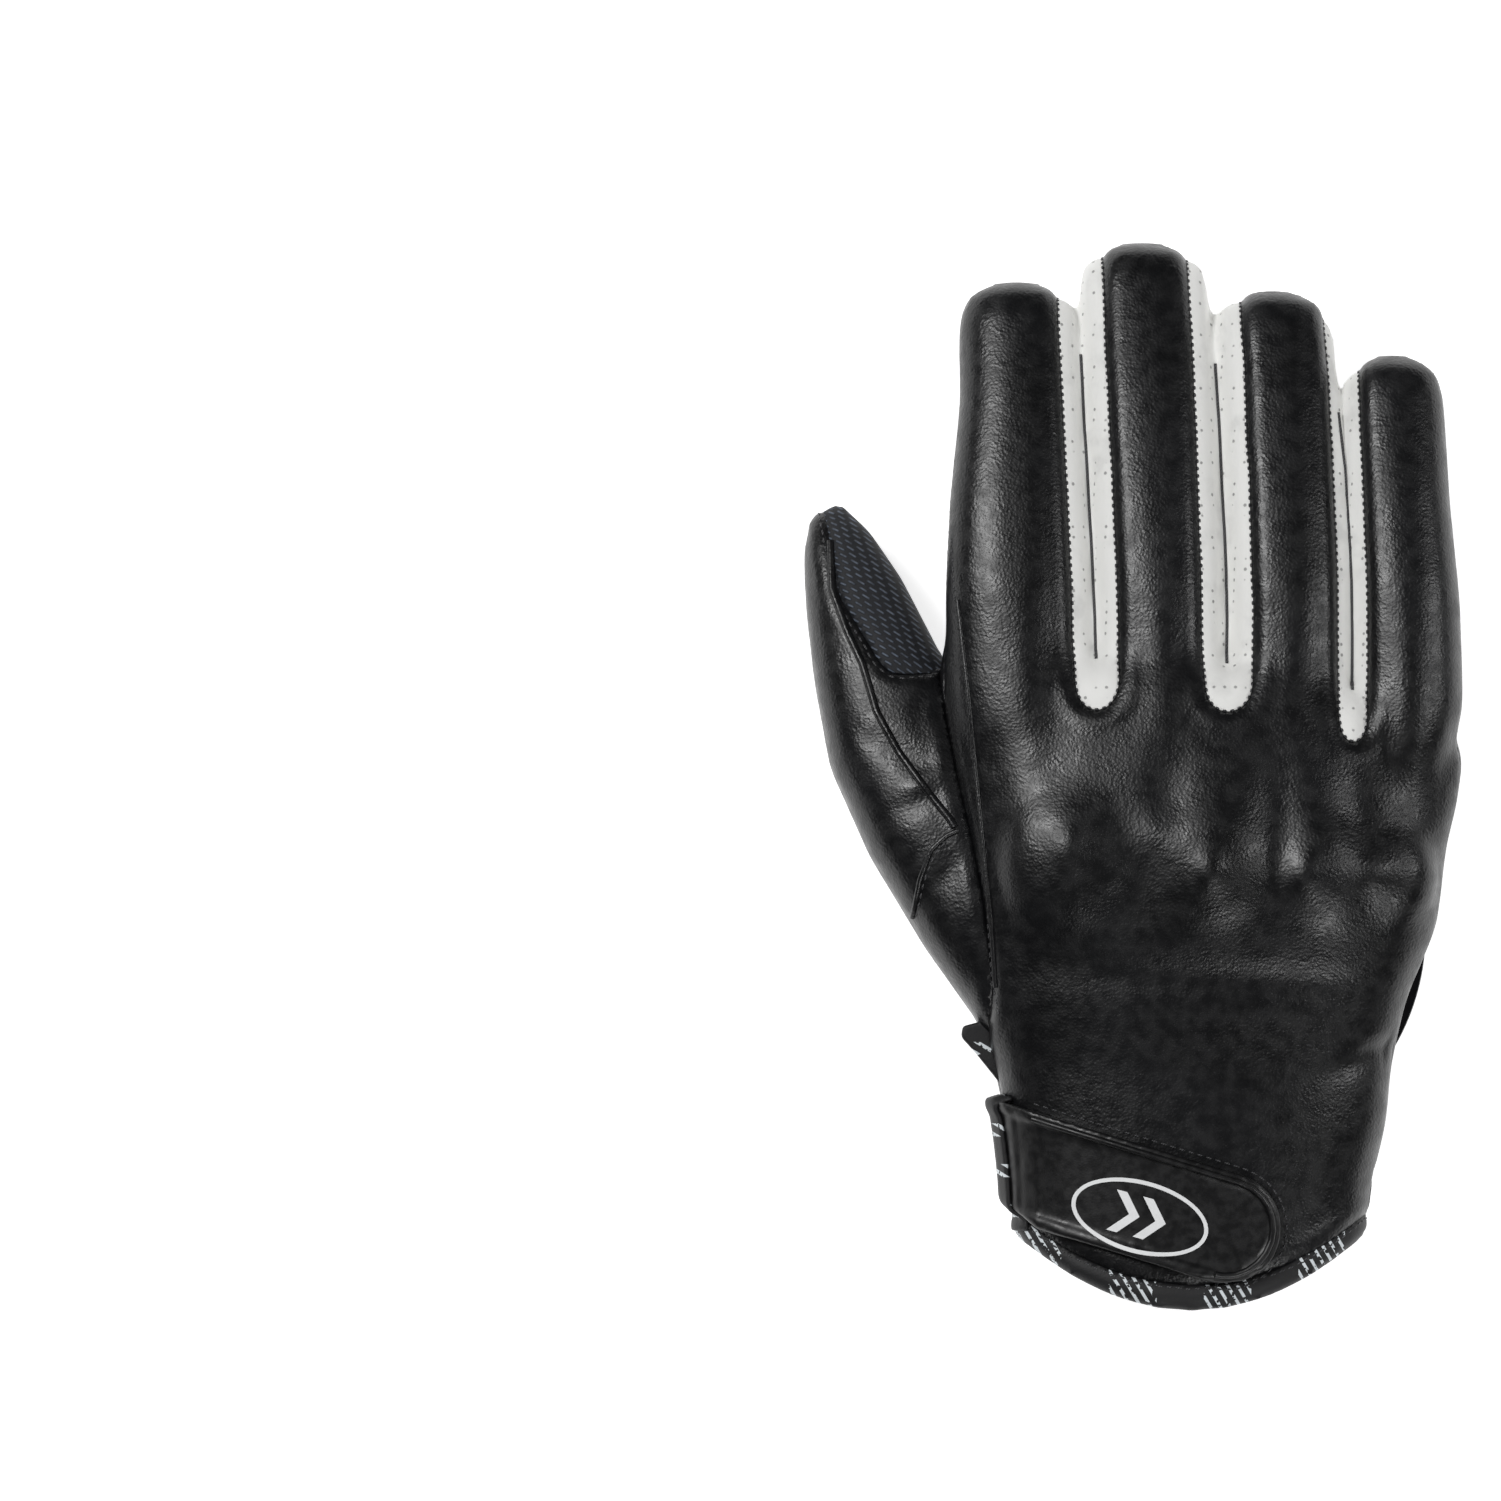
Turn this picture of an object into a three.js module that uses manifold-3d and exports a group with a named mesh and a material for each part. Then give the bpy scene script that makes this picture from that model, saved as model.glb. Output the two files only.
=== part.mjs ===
// A right-hand slide glove for downhill longboard racing, lying palm down on its round slider puck.
// Millimetres. +Z is up, the fingers point along +Y and the thumb lies on the -X side.
// The origin is the centre of the puck's sliding face, which rests on the ground.
import * as THREE from 'three';
import { mergeVertices } from 'three/addons/utils/BufferGeometryUtils.js';
import Module from 'manifold-3d';

// Slider puck and the loop patch that holds it on the palm
const PUCK_DIAMETER = 101.6;
const PUCK_FACE_DIAMETER = 89;
const PUCK_THICKNESS = 14;
const PUCK_BEVEL_HEIGHT = 6;
const LOOP_PATCH_DIAMETER = 84;
const LOOP_PATCH_THICKNESS = 3;

// Hand, from the wrist rim to the webs between the fingers
const HAND_WIDTH = 115;
const HAND_LENGTH = 144.5;
const HAND_THICKNESS = 37;
const RIM_BEHIND_PUCK = 83;
const RIM_ARC = 17;
const WEB_SLANT = 4;
const LITTLE_WEB_SETBACK = 22;

// Fingers
const FINGER_ROOT_BEHIND_WEB = 11.5;
const FINGER_REACH = 103;
const FINGER_THICKNESS = 24;
const FINGER_DROP = 22;
const FINGER_SLIT = 1.6;
const FINGER_BURIED = 20;
const FINGER_CURL = 1.7;
const TIP_ROUNDING = 9;

// Thumb
const THUMB_ROOT_INSIDE = 23.5;
const THUMB_ROOT_BEHIND_WEB = 79.5;
const THUMB_LENGTH = 113;
const THUMB_SPREAD = 49.5;
const THUMB_WIDTH = 36;
const THUMB_THICKNESS = 28;
const THUMB_DROP = 18;

// Leather, seams and sewn-in panels
const WALL = 2;
const SEAM_GAP = 0.3;
const SEAM_HEIGHT = 17.2;
const GUSSET_WIDTH = 9.8;
const GUSSET_BEHIND_WEB_ON_BACK = 7.5;
const GUSSET_BEHIND_WEB_ON_PALM = 3;
const TIP_PAD_LENGTH = 36;
const TIP_PAD_ARC = 4;
const THUMB_PAD_LENGTH = 38;
const KNUCKLE_WIDTH = 25;
const KNUCKLE_LENGTH = 29;
const KNUCKLE_HEIGHT = 2.8;
const MOUND_SPREAD = 0.67;
const MOUND_DEPTH = 3;

// Wrist
const BINDING_WIDTH = 4.4;
const BINDING_PROUD = 0.6;
const ELASTIC_LENGTH = 25;
const VENT_LENGTH = 56;
const VENT_OPENING = 6;
const STRAP_WIDTH = 24.5;
const STRAP_REACH = 60;
const STRAP_THICKNESS = 2.4;
const STRAP_BORDER = 2.2;
const STRAP_BORDER_HEIGHT = 0.7;
const STRAP_START = { x: -41, y: -51 };
const STRAP_ANGLE = -17;

// Sides of the sections and turns of the round parts
const HAND_SIDES = 28;
const FINGER_SIDES = 14;
const THUMB_SIDES = 18;
const PUCK_SIDES = 48;
const KNUCKLE_SIDES = 12;
const GUSSET_END_SIDES = 6;
const STRAP_END_SIDES = 8;
const PAD_EDGE_SIDES = 5;
const THUMB_STEP = 0.05;
const LEAST_THUMB_RADIUS = 0.5;
const WELD_DISTANCE = 1e-4;

// Squareness of the sections: 2 is an ellipse, and more is squarer
const BACK_SQUARENESS = 2.3;
const PALM_SQUARENESS = 4;
const FINGER_SQUARENESS = 2.4;
const TIP_SQUARENESS = 2.6;

const PALM_LEVEL = PUCK_THICKNESS + LOOP_PATCH_THICKNESS + 2 * SEAM_GAP;
const SEAM_LEVEL = PALM_LEVEL + SEAM_HEIGHT;
const RIM_Y = -RIM_BEHIND_PUCK;
const WEB_Y = RIM_Y + HAND_LENGTH;
const ROOT_Y = WEB_Y - FINGER_ROOT_BEHIND_WEB;

// Beyond every side of the glove
const FAR = 400;

// along is a share of the hand's length, left and right of its width, low and high of its thickness above
// the palm level. arc says how much of the rim's arc the section has, and web how much of the webs' slant.
const HAND_SECTIONS = [
  { along: 0.0, left: 0.361, right: 0.313, low: -0.04, high: 0.92, arc: 1, web: 0 },
  { along: 0.146, left: 0.365, right: 0.33, low: -0.02, high: 0.92, arc: 0.55, web: 0 },
  { along: 0.263, left: 0.375, right: 0.355, low: 0, high: 0.93, arc: 0.2, web: 0 },
  { along: 0.367, left: 0.396, right: 0.362, low: 0, high: 0.93, arc: 0, web: 0 },
  { along: 0.471, left: 0.43, right: 0.391, low: 0, high: 0.96, arc: 0, web: 0 },
  { along: 0.588, left: 0.448, right: 0.452, low: 0, high: 1, arc: 0, web: 0 },
  { along: 0.727, left: 0.461, right: 0.47, low: 0, high: 1, arc: 0, web: 0.1 },
  { along: 0.824, left: 0.475, right: 0.49, low: 0.02, high: 0.95, arc: 0, web: 0.4 },
  { along: 1.0, left: 0.503, right: 0.508, low: 0.13, high: 0.8, arc: 0, web: 1 },
];

// The lines between the fingers: along is a share of the finger reach, and the others of the hand's width.
const FINGER_LINES = [
  { along: -0.3, outer: -0.42, first: -0.206, second: 0.048, third: 0.29, little: 0.43 },
  { along: 0.0, outer: -0.496, first: -0.206, second: 0.048, third: 0.29, little: 0.511 },
  { along: 0.233, outer: -0.503, first: -0.209, second: 0.048, third: 0.29, little: 0.505 },
  { along: 0.447, outer: -0.494, first: -0.218, second: 0.041, third: 0.283, little: 0.487 },
  { along: 0.66, outer: -0.473, first: -0.228, second: 0.034, third: 0.274, little: 0.478 },
  { along: 0.874, outer: -0.475, first: -0.236, second: 0.022, third: 0.258, little: 0.473 },
  { along: 1.1, outer: -0.467, first: -0.245, second: 0.008, third: 0.24, little: 0.467 },
];
const BEND_PLACES = FINGER_LINES.map(({ along }) => ROOT_Y + along * FINGER_REACH);

// Shares of a fingertip's rounding at which its last sections stand
const TIP_STATIONS = [0.55, 0.95];

// reach is a share of the finger reach, tip of the finger thickness and pad of the tip pad length.
const FINGERS = [
  { name: 'index', leftLine: 'outer', rightLine: 'first', reach: 0.916, tip: 0.84, pad: 0.97 },
  { name: 'middle', leftLine: 'first', rightLine: 'second', reach: 1, tip: 0.84, pad: 1 },
  { name: 'ring', leftLine: 'second', rightLine: 'third', reach: 0.897, tip: 0.82, pad: 0.94 },
  { name: 'little', leftLine: 'third', rightLine: 'little', reach: 0.757, tip: 0.78, pad: 1.05 },
];

// width is a share of the gusset width, and setback of the little finger's web setback.
const GUSSETS = [
  { name: 'gusset_index_middle', line: 'first', width: 0.98, setback: 0 },
  { name: 'gusset_middle_ring', line: 'second', width: 1.08, setback: 0 },
  { name: 'gusset_ring_little', line: 'third', width: 0.62, setback: 0.35 },
];

// along is a share of the thumb's length, out of its spread and drop of its drop. width and thickness are
// shares of the thumb's own.
const THUMB_SECTIONS = [
  { along: 0.0, out: 0.0, drop: 0.0, width: 0.78, thickness: 0.86 },
  { along: 0.2, out: 0.27, drop: 0.12, width: 0.88, thickness: 0.98 },
  { along: 0.38, out: 0.49, drop: 0.3, width: 0.95, thickness: 1.0 },
  { along: 0.54, out: 0.665, drop: 0.48, width: 0.92, thickness: 0.92 },
  { along: 0.69, out: 0.778, drop: 0.64, width: 0.77, thickness: 0.82 },
  { along: 0.83, out: 0.875, drop: 0.82, width: 0.6, thickness: 0.7 },
  { along: 0.93, out: 0.95, drop: 0.94, width: 0.41, thickness: 0.52 },
  { along: 1.0, out: 1.0, drop: 1.0, width: 0.16, thickness: 0.24 },
];

// The edge of the thumb's pad on the back: along is a share of the pad's length, across of the thumb's width.
const THUMB_PAD_EDGE = [
  { along: 0.0, across: 0.055 },
  { along: 0.55, across: -0.09 },
  { along: 1.0, across: -0.02 },
];

// across is a share of half the hand's width, along of the hand's length and size of the knuckle's own sizes.
const KNUCKLES = [
  { across: -0.47, along: 0.68, size: 1.1 },
  { across: 0.03, along: 0.675, size: 1.04 },
  { across: 0.43, along: 0.668, size: 0.88 },
  { across: 0.7, along: 0.665, size: 0.7 },
];

const wasm = await Module();
wasm.setup();

// A closed three.js geometry as a solid that can be cut and joined.
function solid(geometry) {
  const bare = geometry.clone();
  bare.deleteAttribute('normal');
  bare.deleteAttribute('uv');
  const merged = mergeVertices(bare, WELD_DISTANCE);
  return new wasm.Manifold(new wasm.Mesh({
    numProp: 3,
    vertProperties: new Float32Array(merged.attributes.position.array),
    triVerts: new Uint32Array(merged.index.array),
  }));
}

function geometryOf(shape) {
  const mesh = shape.getMesh();
  const geometry = new THREE.BufferGeometry();
  geometry.setAttribute('position', new THREE.BufferAttribute(new Float32Array(mesh.vertProperties), 3));
  geometry.setIndex(new THREE.BufferAttribute(new Uint32Array(mesh.triVerts), 1));
  geometry.computeVertexNormals();
  return geometry;
}

// A closed skin through rings of equal, even point count. Each end is closed with strips from side to side.
function loft(rings) {
  const sides = rings[0].length;
  const positions = rings.flat().flatMap((point) => [point.x, point.y, point.z]);
  const triangles = [];
  for (let ring = 0; ring + 1 < rings.length; ring += 1) {
    for (let side = 0; side < sides; side += 1) {
      const next = (side + 1) % sides;
      const [a, b] = [ring * sides + side, ring * sides + next];
      triangles.push(a, b, b + sides, a, b + sides, a + sides);
    }
  }
  for (const [start, turned] of [[0, true], [(rings.length - 1) * sides, false]]) {
    for (let side = 1; side < sides / 2; side += 1) {
      const corners = [[side - 1, side, sides - side]];
      if (side > 1) corners.push([side - 1, sides - side, sides - side + 1]);
      for (const corner of corners) {
        const triangle = corner.map((place) => start + place);
        triangles.push(...(turned ? triangle.reverse() : triangle));
      }
    }
    const last = [sides / 2 - 1, sides / 2, sides / 2 + 1].map((place) => start + place);
    triangles.push(...(turned ? last.reverse() : last));
  }
  const geometry = new THREE.BufferGeometry();
  geometry.setAttribute('position', new THREE.Float32BufferAttribute(positions, 3));
  geometry.setIndex(triangles);
  return solid(geometry);
}

function rounded(value, squareness) {
  return Math.sign(value) * Math.abs(value) ** (2 / squareness);
}

// The value of one column of a table at a share along it.
function columnAt(table, column, along) {
  let row = table.findIndex((entry) => entry.along >= along);
  row = row < 0 ? table.length - 1 : Math.max(row, 1);
  const [before, after] = [table[row - 1], table[row]];
  const share = (along - before.along) / (after.along - before.along);
  return before[column] + share * (after[column] - before[column]);
}

// The middle of the hand's section at a share of its length, and half its width and height.
function handFrame(along) {
  const at = (column) => columnAt(HAND_SECTIONS, column, along);
  const [left, right] = [-at('left') * HAND_WIDTH, at('right') * HAND_WIDTH];
  const [low, high] = [at('low'), at('high')].map((share) => PALM_LEVEL + share * HAND_THICKNESS);
  return {
    middle: (left + right) / 2,
    half: (right - left) / 2,
    centre: (low + high) / 2,
    tall: (high - low) / 2,
  };
}

// The hand's rounded section at a share of its length, grown outwards and shifted along the hand.
function handSection(along, grow, shift = 0) {
  const at = (column) => columnAt(HAND_SECTIONS, column, along);
  const { middle, half, centre, tall } = handFrame(along);
  const ring = [];
  for (let side = 0; side < HAND_SIDES; side += 1) {
    const angle = (2 * Math.PI * side) / HAND_SIDES;
    const squareness = Math.sin(angle) > 0 ? BACK_SQUARENESS : PALM_SQUARENESS;
    const across = rounded(Math.cos(angle), squareness);
    const up = rounded(Math.sin(angle), squareness);
    const x = middle + across * (half + grow);
    const rim = at('arc') * RIM_ARC * ((x - middle) / half) ** 2;
    const setback = x > 0 ? LITTLE_WEB_SETBACK * (x / (HAND_WIDTH / 2)) ** 2 : 0;
    const web = at('web') * (-WEB_SLANT * up - setback);
    const y = RIM_Y + along * HAND_LENGTH + shift + rim + web;
    ring.push(new THREE.Vector3(x, y, centre + up * (tall + grow)));
  }
  return ring.reverse();
}

function hand(grow, rimShift, webShift) {
  const last = HAND_SECTIONS.length - 1;
  const rings = HAND_SECTIONS.map(({ along }, row) => {
    const shift = row === last ? webShift : 0;
    return handSection(along, grow, row === 0 ? rimShift : shift);
  });
  return loft(rings);
}

// How far the fingers hang below their roots at a place along the hand.
function fingerHeight(y) {
  const share = Math.max(0, (y - ROOT_Y) / FINGER_REACH);
  return SEAM_LEVEL - FINGER_DROP * share ** FINGER_CURL;
}

function fingerLine(line, y) {
  return columnAt(FINGER_LINES, line, (y - ROOT_Y) / FINGER_REACH) * HAND_WIDTH;
}

// One finger's skin, or its hollow when inset by the wall.
function finger({ leftLine, rightLine, reach, tip }, inset) {
  const tipY = ROOT_Y + reach * FINGER_REACH - inset;
  const straight = tipY - TIP_ROUNDING;
  const bends = BEND_PLACES.filter((y) => y >= ROOT_Y && y < straight - TIP_ROUNDING);
  const stations = [ROOT_Y - FINGER_BURIED, ...bends, straight].map((y) => ({ y, scale: 1 }));
  for (const share of TIP_STATIONS) {
    stations.push({
      y: straight + share * TIP_ROUNDING,
      scale: (1 - share ** TIP_SQUARENESS) ** (1 / TIP_SQUARENESS),
    });
  }
  return loft(stations.map(({ y, scale }) => {
    const taper = Math.max(0, (y - ROOT_Y) / (tipY - ROOT_Y));
    const left = fingerLine(leftLine, y) + FINGER_SLIT / 2;
    const right = fingerLine(rightLine, y) - FINGER_SLIT / 2;
    const half = ((right - left) / 2 - inset) * scale;
    const tall = ((FINGER_THICKNESS / 2) * (1 + taper * (tip - 1)) - inset) * scale;
    const slope = (fingerHeight(y + 1) - fingerHeight(y - 1)) / 2;
    return oval((left + right) / 2, y, fingerHeight(y), half, tall, 0, slope, FINGER_SIDES);
  }));
}

// A rounded ring square to a direction that runs along +Y, leans sideways by lean and climbs by slope.
function oval(x, y, z, half, tall, lean, slope, sides) {
  const forward = new THREE.Vector3(lean, 1, slope).normalize();
  const across = new THREE.Vector3(1, -lean, 0).normalize();
  const up = new THREE.Vector3().crossVectors(across, forward);
  return Array.from({ length: sides }, (_, side) => {
    const angle = (-2 * Math.PI * side) / sides;
    return new THREE.Vector3(x, y, z)
      .addScaledVector(across, half * rounded(Math.cos(angle), FINGER_SQUARENESS))
      .addScaledVector(up, tall * rounded(Math.sin(angle), FINGER_SQUARENESS));
  });
}

function thumbPoint(along) {
  const at = (column) => columnAt(THUMB_SECTIONS, column, along);
  return new THREE.Vector3(
    THUMB_ROOT_INSIDE - HAND_WIDTH / 2 - at('out') * THUMB_SPREAD,
    WEB_Y - THUMB_ROOT_BEHIND_WEB + along * THUMB_LENGTH,
    SEAM_LEVEL - WALL - at('drop') * THUMB_DROP,
  );
}

// The thumb's skin, or its hollow when inset by the wall.
function thumb(inset) {
  const shorten = inset / THUMB_LENGTH;
  return loft(THUMB_SECTIONS.map((section) => {
    const along = section.along * (1 - shorten);
    const [before, after] = [thumbPoint(along - THUMB_STEP), thumbPoint(along + THUMB_STEP)];
    const run = after.y - before.y;
    const centre = thumbPoint(along);
    const half = Math.max((section.width * THUMB_WIDTH) / 2 - inset, LEAST_THUMB_RADIUS);
    const tall = Math.max((section.thickness * THUMB_THICKNESS) / 2 - inset, LEAST_THUMB_RADIUS);
    const [lean, slope] = [(after.x - before.x) / run, (after.z - before.z) / run];
    return oval(centre.x, centre.y, centre.z, half, tall, lean, slope, THUMB_SIDES);
  }));
}

// An upright prism over a flat outline.
function prism(shape, low, high, curveSegments = 1) {
  const geometry = new THREE.ExtrudeGeometry(shape, {
    depth: high - low, bevelEnabled: false, curveSegments,
  });
  geometry.translate(0, 0, low);
  return solid(geometry);
}

function polygon(points) {
  return new THREE.Shape(points.map(([x, y]) => new THREE.Vector2(x, y)));
}

// A prism along X over an outline drawn in Y and Z.
function prismAcross(points, left, right) {
  const geometry = new THREE.ExtrudeGeometry(polygon(points), { depth: right - left, bevelEnabled: false });
  const turn = new THREE.Matrix4().makeBasis(
    new THREE.Vector3(0, 1, 0), new THREE.Vector3(0, 0, 1), new THREE.Vector3(1, 0, 0),
  );
  geometry.applyMatrix4(turn);
  geometry.translate(left, 0, 0);
  return solid(geometry);
}

// Everything above the side seam, which follows the fingers down, or everything below it.
function sideOfSeam(above) {
  const offset = above ? SEAM_GAP / 2 : -SEAM_GAP / 2;
  const seam = BEND_PLACES.filter((y) => y >= ROOT_Y).map((y) => [y, fingerHeight(y) + offset]);
  const end = above ? FAR : -FAR;
  const first = [-FAR, SEAM_LEVEL + offset];
  const last = [FAR, seam.at(-1)[1]];
  return prismAcross([first, ...seam, last, [FAR, end], [-FAR, end]], -FAR, FAR);
}

// The column over one gusset: along both sides of a slit and round its web, leaning forward towards the palm.
function gussetColumn({ line, width, setback }, grow) {
  const half = (width * GUSSET_WIDTH) / 2 + grow;
  const back = WEB_Y - WEB_SLANT - GUSSET_BEHIND_WEB_ON_BACK;
  const palm = WEB_Y + WEB_SLANT - GUSSET_BEHIND_WEB_ON_PALM;
  const base = back - setback * LITTLE_WEB_SETBACK - grow + half;
  const bends = BEND_PLACES.filter((y) => y > base + half);
  const shape = new THREE.Shape();
  shape.absarc(fingerLine(line, base), base, half, Math.PI, 2 * Math.PI, false);
  bends.forEach((y) => shape.lineTo(fingerLine(line, y) + half, y));
  bends.reverse().forEach((y) => shape.lineTo(fingerLine(line, y) - half, y));
  const geometry = new THREE.ExtrudeGeometry(shape, {
    depth: 2 * FAR, bevelEnabled: false, curveSegments: GUSSET_END_SIDES,
  });
  geometry.translate(0, 0, -FAR);
  const lean = (back - palm) / FINGER_THICKNESS;
  const places = geometry.attributes.position;
  for (let point = 0; point < places.count; point += 1) {
    places.setY(point, places.getY(point) + lean * (places.getZ(point) - SEAM_LEVEL - FINGER_THICKNESS / 2));
  }
  return solid(geometry);
}

// The room of the woven pad on the palm side of a fingertip, with a curved lower edge.
function padRoom(entry, grow) {
  const { leftLine, rightLine, reach, pad } = entry;
  const start = ROOT_Y + reach * FINGER_REACH - pad * TIP_PAD_LENGTH;
  const end = BEND_PLACES.at(-1);
  const outer = { outer: -GUSSET_WIDTH, little: GUSSET_WIDTH };
  const edge = (line, y) => fingerLine(line, y) + (outer[line] ?? 0);
  const shape = new THREE.Shape();
  shape.moveTo(edge(leftLine, end), end);
  shape.lineTo(edge(leftLine, start), start - grow);
  const middle = (edge(leftLine, start) + edge(rightLine, start)) / 2;
  shape.quadraticCurveTo(middle, start - grow - 2 * TIP_PAD_ARC, edge(rightLine, start), start - grow);
  shape.lineTo(edge(rightLine, end), end);
  return prism(shape, -FAR, FAR, PAD_EDGE_SIDES).intersect(finger(entry, -SEAM_GAP));
}

// The side of the thumb that faces the index finger, from the pad's lower edge to the tip.
function thumbPadColumn(grow) {
  const start = 1 - THUMB_PAD_LENGTH / THUMB_LENGTH;
  const [foot, tip] = [thumbPoint(start), thumbPoint(1)];
  const axis = new THREE.Vector2(tip.x - foot.x, tip.y - foot.y).normalize();
  const side = new THREE.Vector2(axis.y, -axis.x);
  const place = (along, across) => [
    foot.x + axis.x * along + side.x * across,
    foot.y + axis.y * along + side.y * across,
  ];
  const edge = THUMB_PAD_EDGE.map(({ along, across }) => place(
    along * THUMB_PAD_LENGTH - grow, across * THUMB_WIDTH - grow,
  ));
  return prism(polygon([
    ...edge, place(2 * THUMB_PAD_LENGTH, THUMB_PAD_EDGE.at(-1).across * THUMB_WIDTH - grow),
    place(2 * THUMB_PAD_LENGTH, THUMB_WIDTH), place(-grow - TIP_PAD_ARC * 2, THUMB_WIDTH),
  ]), -FAR, FAR);
}

// The back's height above a place on the hand.
function backHeight(x, along) {
  const { middle, half, centre, tall } = handFrame(along);
  const across = Math.abs((x - middle) / half);
  return centre + tall * (1 - across ** BACK_SQUARENESS) ** (1 / BACK_SQUARENESS);
}

// The padded knuckles under the back leather.
function knuckles() {
  return KNUCKLES.map(({ across, along, size }) => {
    const x = (across * HAND_WIDTH) / 2;
    const mound = new THREE.SphereGeometry(1, KNUCKLE_SIDES, KNUCKLE_SIDES / 2);
    mound.rotateX(Math.PI / 2);
    const spread = MOUND_SPREAD * size;
    const sunk = (MOUND_DEPTH - 1) * KNUCKLE_HEIGHT;
    mound.scale(spread * KNUCKLE_WIDTH, spread * KNUCKLE_LENGTH, MOUND_DEPTH * KNUCKLE_HEIGHT);
    mound.translate(x, RIM_Y + along * HAND_LENGTH, backHeight(x, along) - sunk);
    return solid(mound);
  });
}

// A strip across the wrist with one round end.
function strapShape(inset) {
  const half = STRAP_WIDTH / 2 - inset;
  const shape = new THREE.Shape();
  shape.moveTo(-STRAP_WIDTH, -half);
  shape.lineTo(STRAP_REACH - STRAP_WIDTH / 2, -half);
  shape.absarc(STRAP_REACH - STRAP_WIDTH / 2, 0, half, -Math.PI / 2, Math.PI / 2, false);
  shape.lineTo(-STRAP_WIDTH, half);
  return shape;
}

function strapColumn(inset) {
  const geometry = new THREE.ExtrudeGeometry(strapShape(inset), {
    depth: FAR, bevelEnabled: false, curveSegments: STRAP_END_SIDES,
  });
  geometry.rotateZ(THREE.MathUtils.degToRad(STRAP_ANGLE));
  geometry.translate(STRAP_START.x, STRAP_START.y, SEAM_LEVEL - STRAP_WIDTH / 4);
  return solid(geometry);
}

// The rim tape, or the room that it takes at the end of the leather.
function rimRing(proud, thickness, extra) {
  const end = (BINDING_WIDTH + extra) / HAND_LENGTH;
  const outer = loft([handSection(0, proud, -BINDING_PROUD - extra), handSection(end, proud)]);
  const inner = loft([
    handSection(0, proud - thickness, -WALL - 2 * extra), handSection(end, proud - thickness, WALL),
  ]);
  return outer.subtract(inner);
}

const handSkin = hand(0, 0, 0);
const fingerSkins = FINGERS.map((entry) => finger(entry, 0));
const handAndFingers = fingerSkins.reduce((all, skin) => all.add(skin), handSkin);
const handAndFingersGrown = FINGERS.reduce(
  (all, entry) => all.add(finger(entry, -SEAM_GAP)), hand(SEAM_GAP, -SEAM_GAP, SEAM_GAP),
);
const padded = knuckles().reduce((all, mound) => all.add(mound), handAndFingers);
const outside = padded.add(thumb(0));
const hollow = FINGERS.reduce(
  (all, entry) => all.add(finger(entry, WALL)),
  hand(-WALL, -3 * WALL, -WALL).add(thumb(WALL)),
);
const above = sideOfSeam(true);
const below = sideOfSeam(false);
const vent = prismAcross([
  [RIM_Y + VENT_LENGTH, SEAM_LEVEL],
  [RIM_Y - BINDING_WIDTH, SEAM_LEVEL + VENT_OPENING / 2],
  [RIM_Y - BINDING_WIDTH, SEAM_LEVEL - VENT_OPENING / 2],
], -HAND_WIDTH, -HAND_WIDTH / 4);
const rimRoom = rimRing(2 * BINDING_PROUD, WALL + 4 * BINDING_PROUD, 2 * SEAM_GAP);
const shell = outside.subtract(hollow).subtract(rimRoom).subtract(vent);

const gussets = GUSSETS.map((entry) => shell.intersect(gussetColumn(entry, 0)));
const withoutGussets = GUSSETS.reduce((all, entry) => all.subtract(gussetColumn(entry, SEAM_GAP)), shell);
const mainShell = withoutGussets.intersect(padded);
const thumbShell = thumb(0).subtract(hollow).subtract(handAndFingersGrown);
const elasticZone = prism(polygon([
  [-FAR, -FAR], [FAR, -FAR], [FAR, RIM_Y + BINDING_WIDTH + ELASTIC_LENGTH],
  [-FAR, RIM_Y + BINDING_WIDTH + ELASTIC_LENGTH],
]), -FAR, FAR);
const elasticRoom = elasticZone.translate(0, SEAM_GAP, 0);
const palmSide = mainShell.intersect(below);
const padZones = FINGERS.map((entry) => padRoom(entry, 0));
const padRooms = FINGERS.map((entry) => padRoom(entry, SEAM_GAP));

// The puck is turned on a lathe: a flat sliding face, a bevel and an upright side.
function puck() {
  const profile = [
    [0, 0], [PUCK_FACE_DIAMETER / 2, 0], [PUCK_DIAMETER / 2, PUCK_BEVEL_HEIGHT],
    [PUCK_DIAMETER / 2, PUCK_THICKNESS], [0, PUCK_THICKNESS],
  ].map(([radius, height]) => new THREE.Vector2(radius, height));
  const geometry = new THREE.LatheGeometry(profile, PUCK_SIDES);
  geometry.rotateX(Math.PI / 2);
  return solid(geometry);
}

// The loop patch fills the space between the flat puck and the rounded palm.
function loopPatch() {
  const geometry = new THREE.CylinderGeometry(
    LOOP_PATCH_DIAMETER / 2, LOOP_PATCH_DIAMETER / 2, LOOP_PATCH_THICKNESS * 2, PUCK_SIDES,
  );
  geometry.rotateX(Math.PI / 2);
  geometry.translate(0, 0, PUCK_THICKNESS + SEAM_GAP + LOOP_PATCH_THICKNESS);
  return solid(geometry).subtract(hand(SEAM_GAP, 0, 0)).subtract(thumb(-SEAM_GAP));
}

// The strap lies on the back of the wrist, with a raised border round its face.
function strap() {
  const clearOfRim = BINDING_WIDTH + 2 * SEAM_GAP;
  const layer = (from, to) => hand(to, clearOfRim, 0).subtract(hand(from, 0, WALL));
  const sheet = layer(SEAM_GAP, SEAM_GAP + STRAP_THICKNESS).intersect(strapColumn(0));
  const border = layer(SEAM_GAP, SEAM_GAP + STRAP_THICKNESS + STRAP_BORDER_HEIGHT)
    .intersect(strapColumn(0)).subtract(strapColumn(STRAP_BORDER));
  return sheet.add(border);
}

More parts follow.
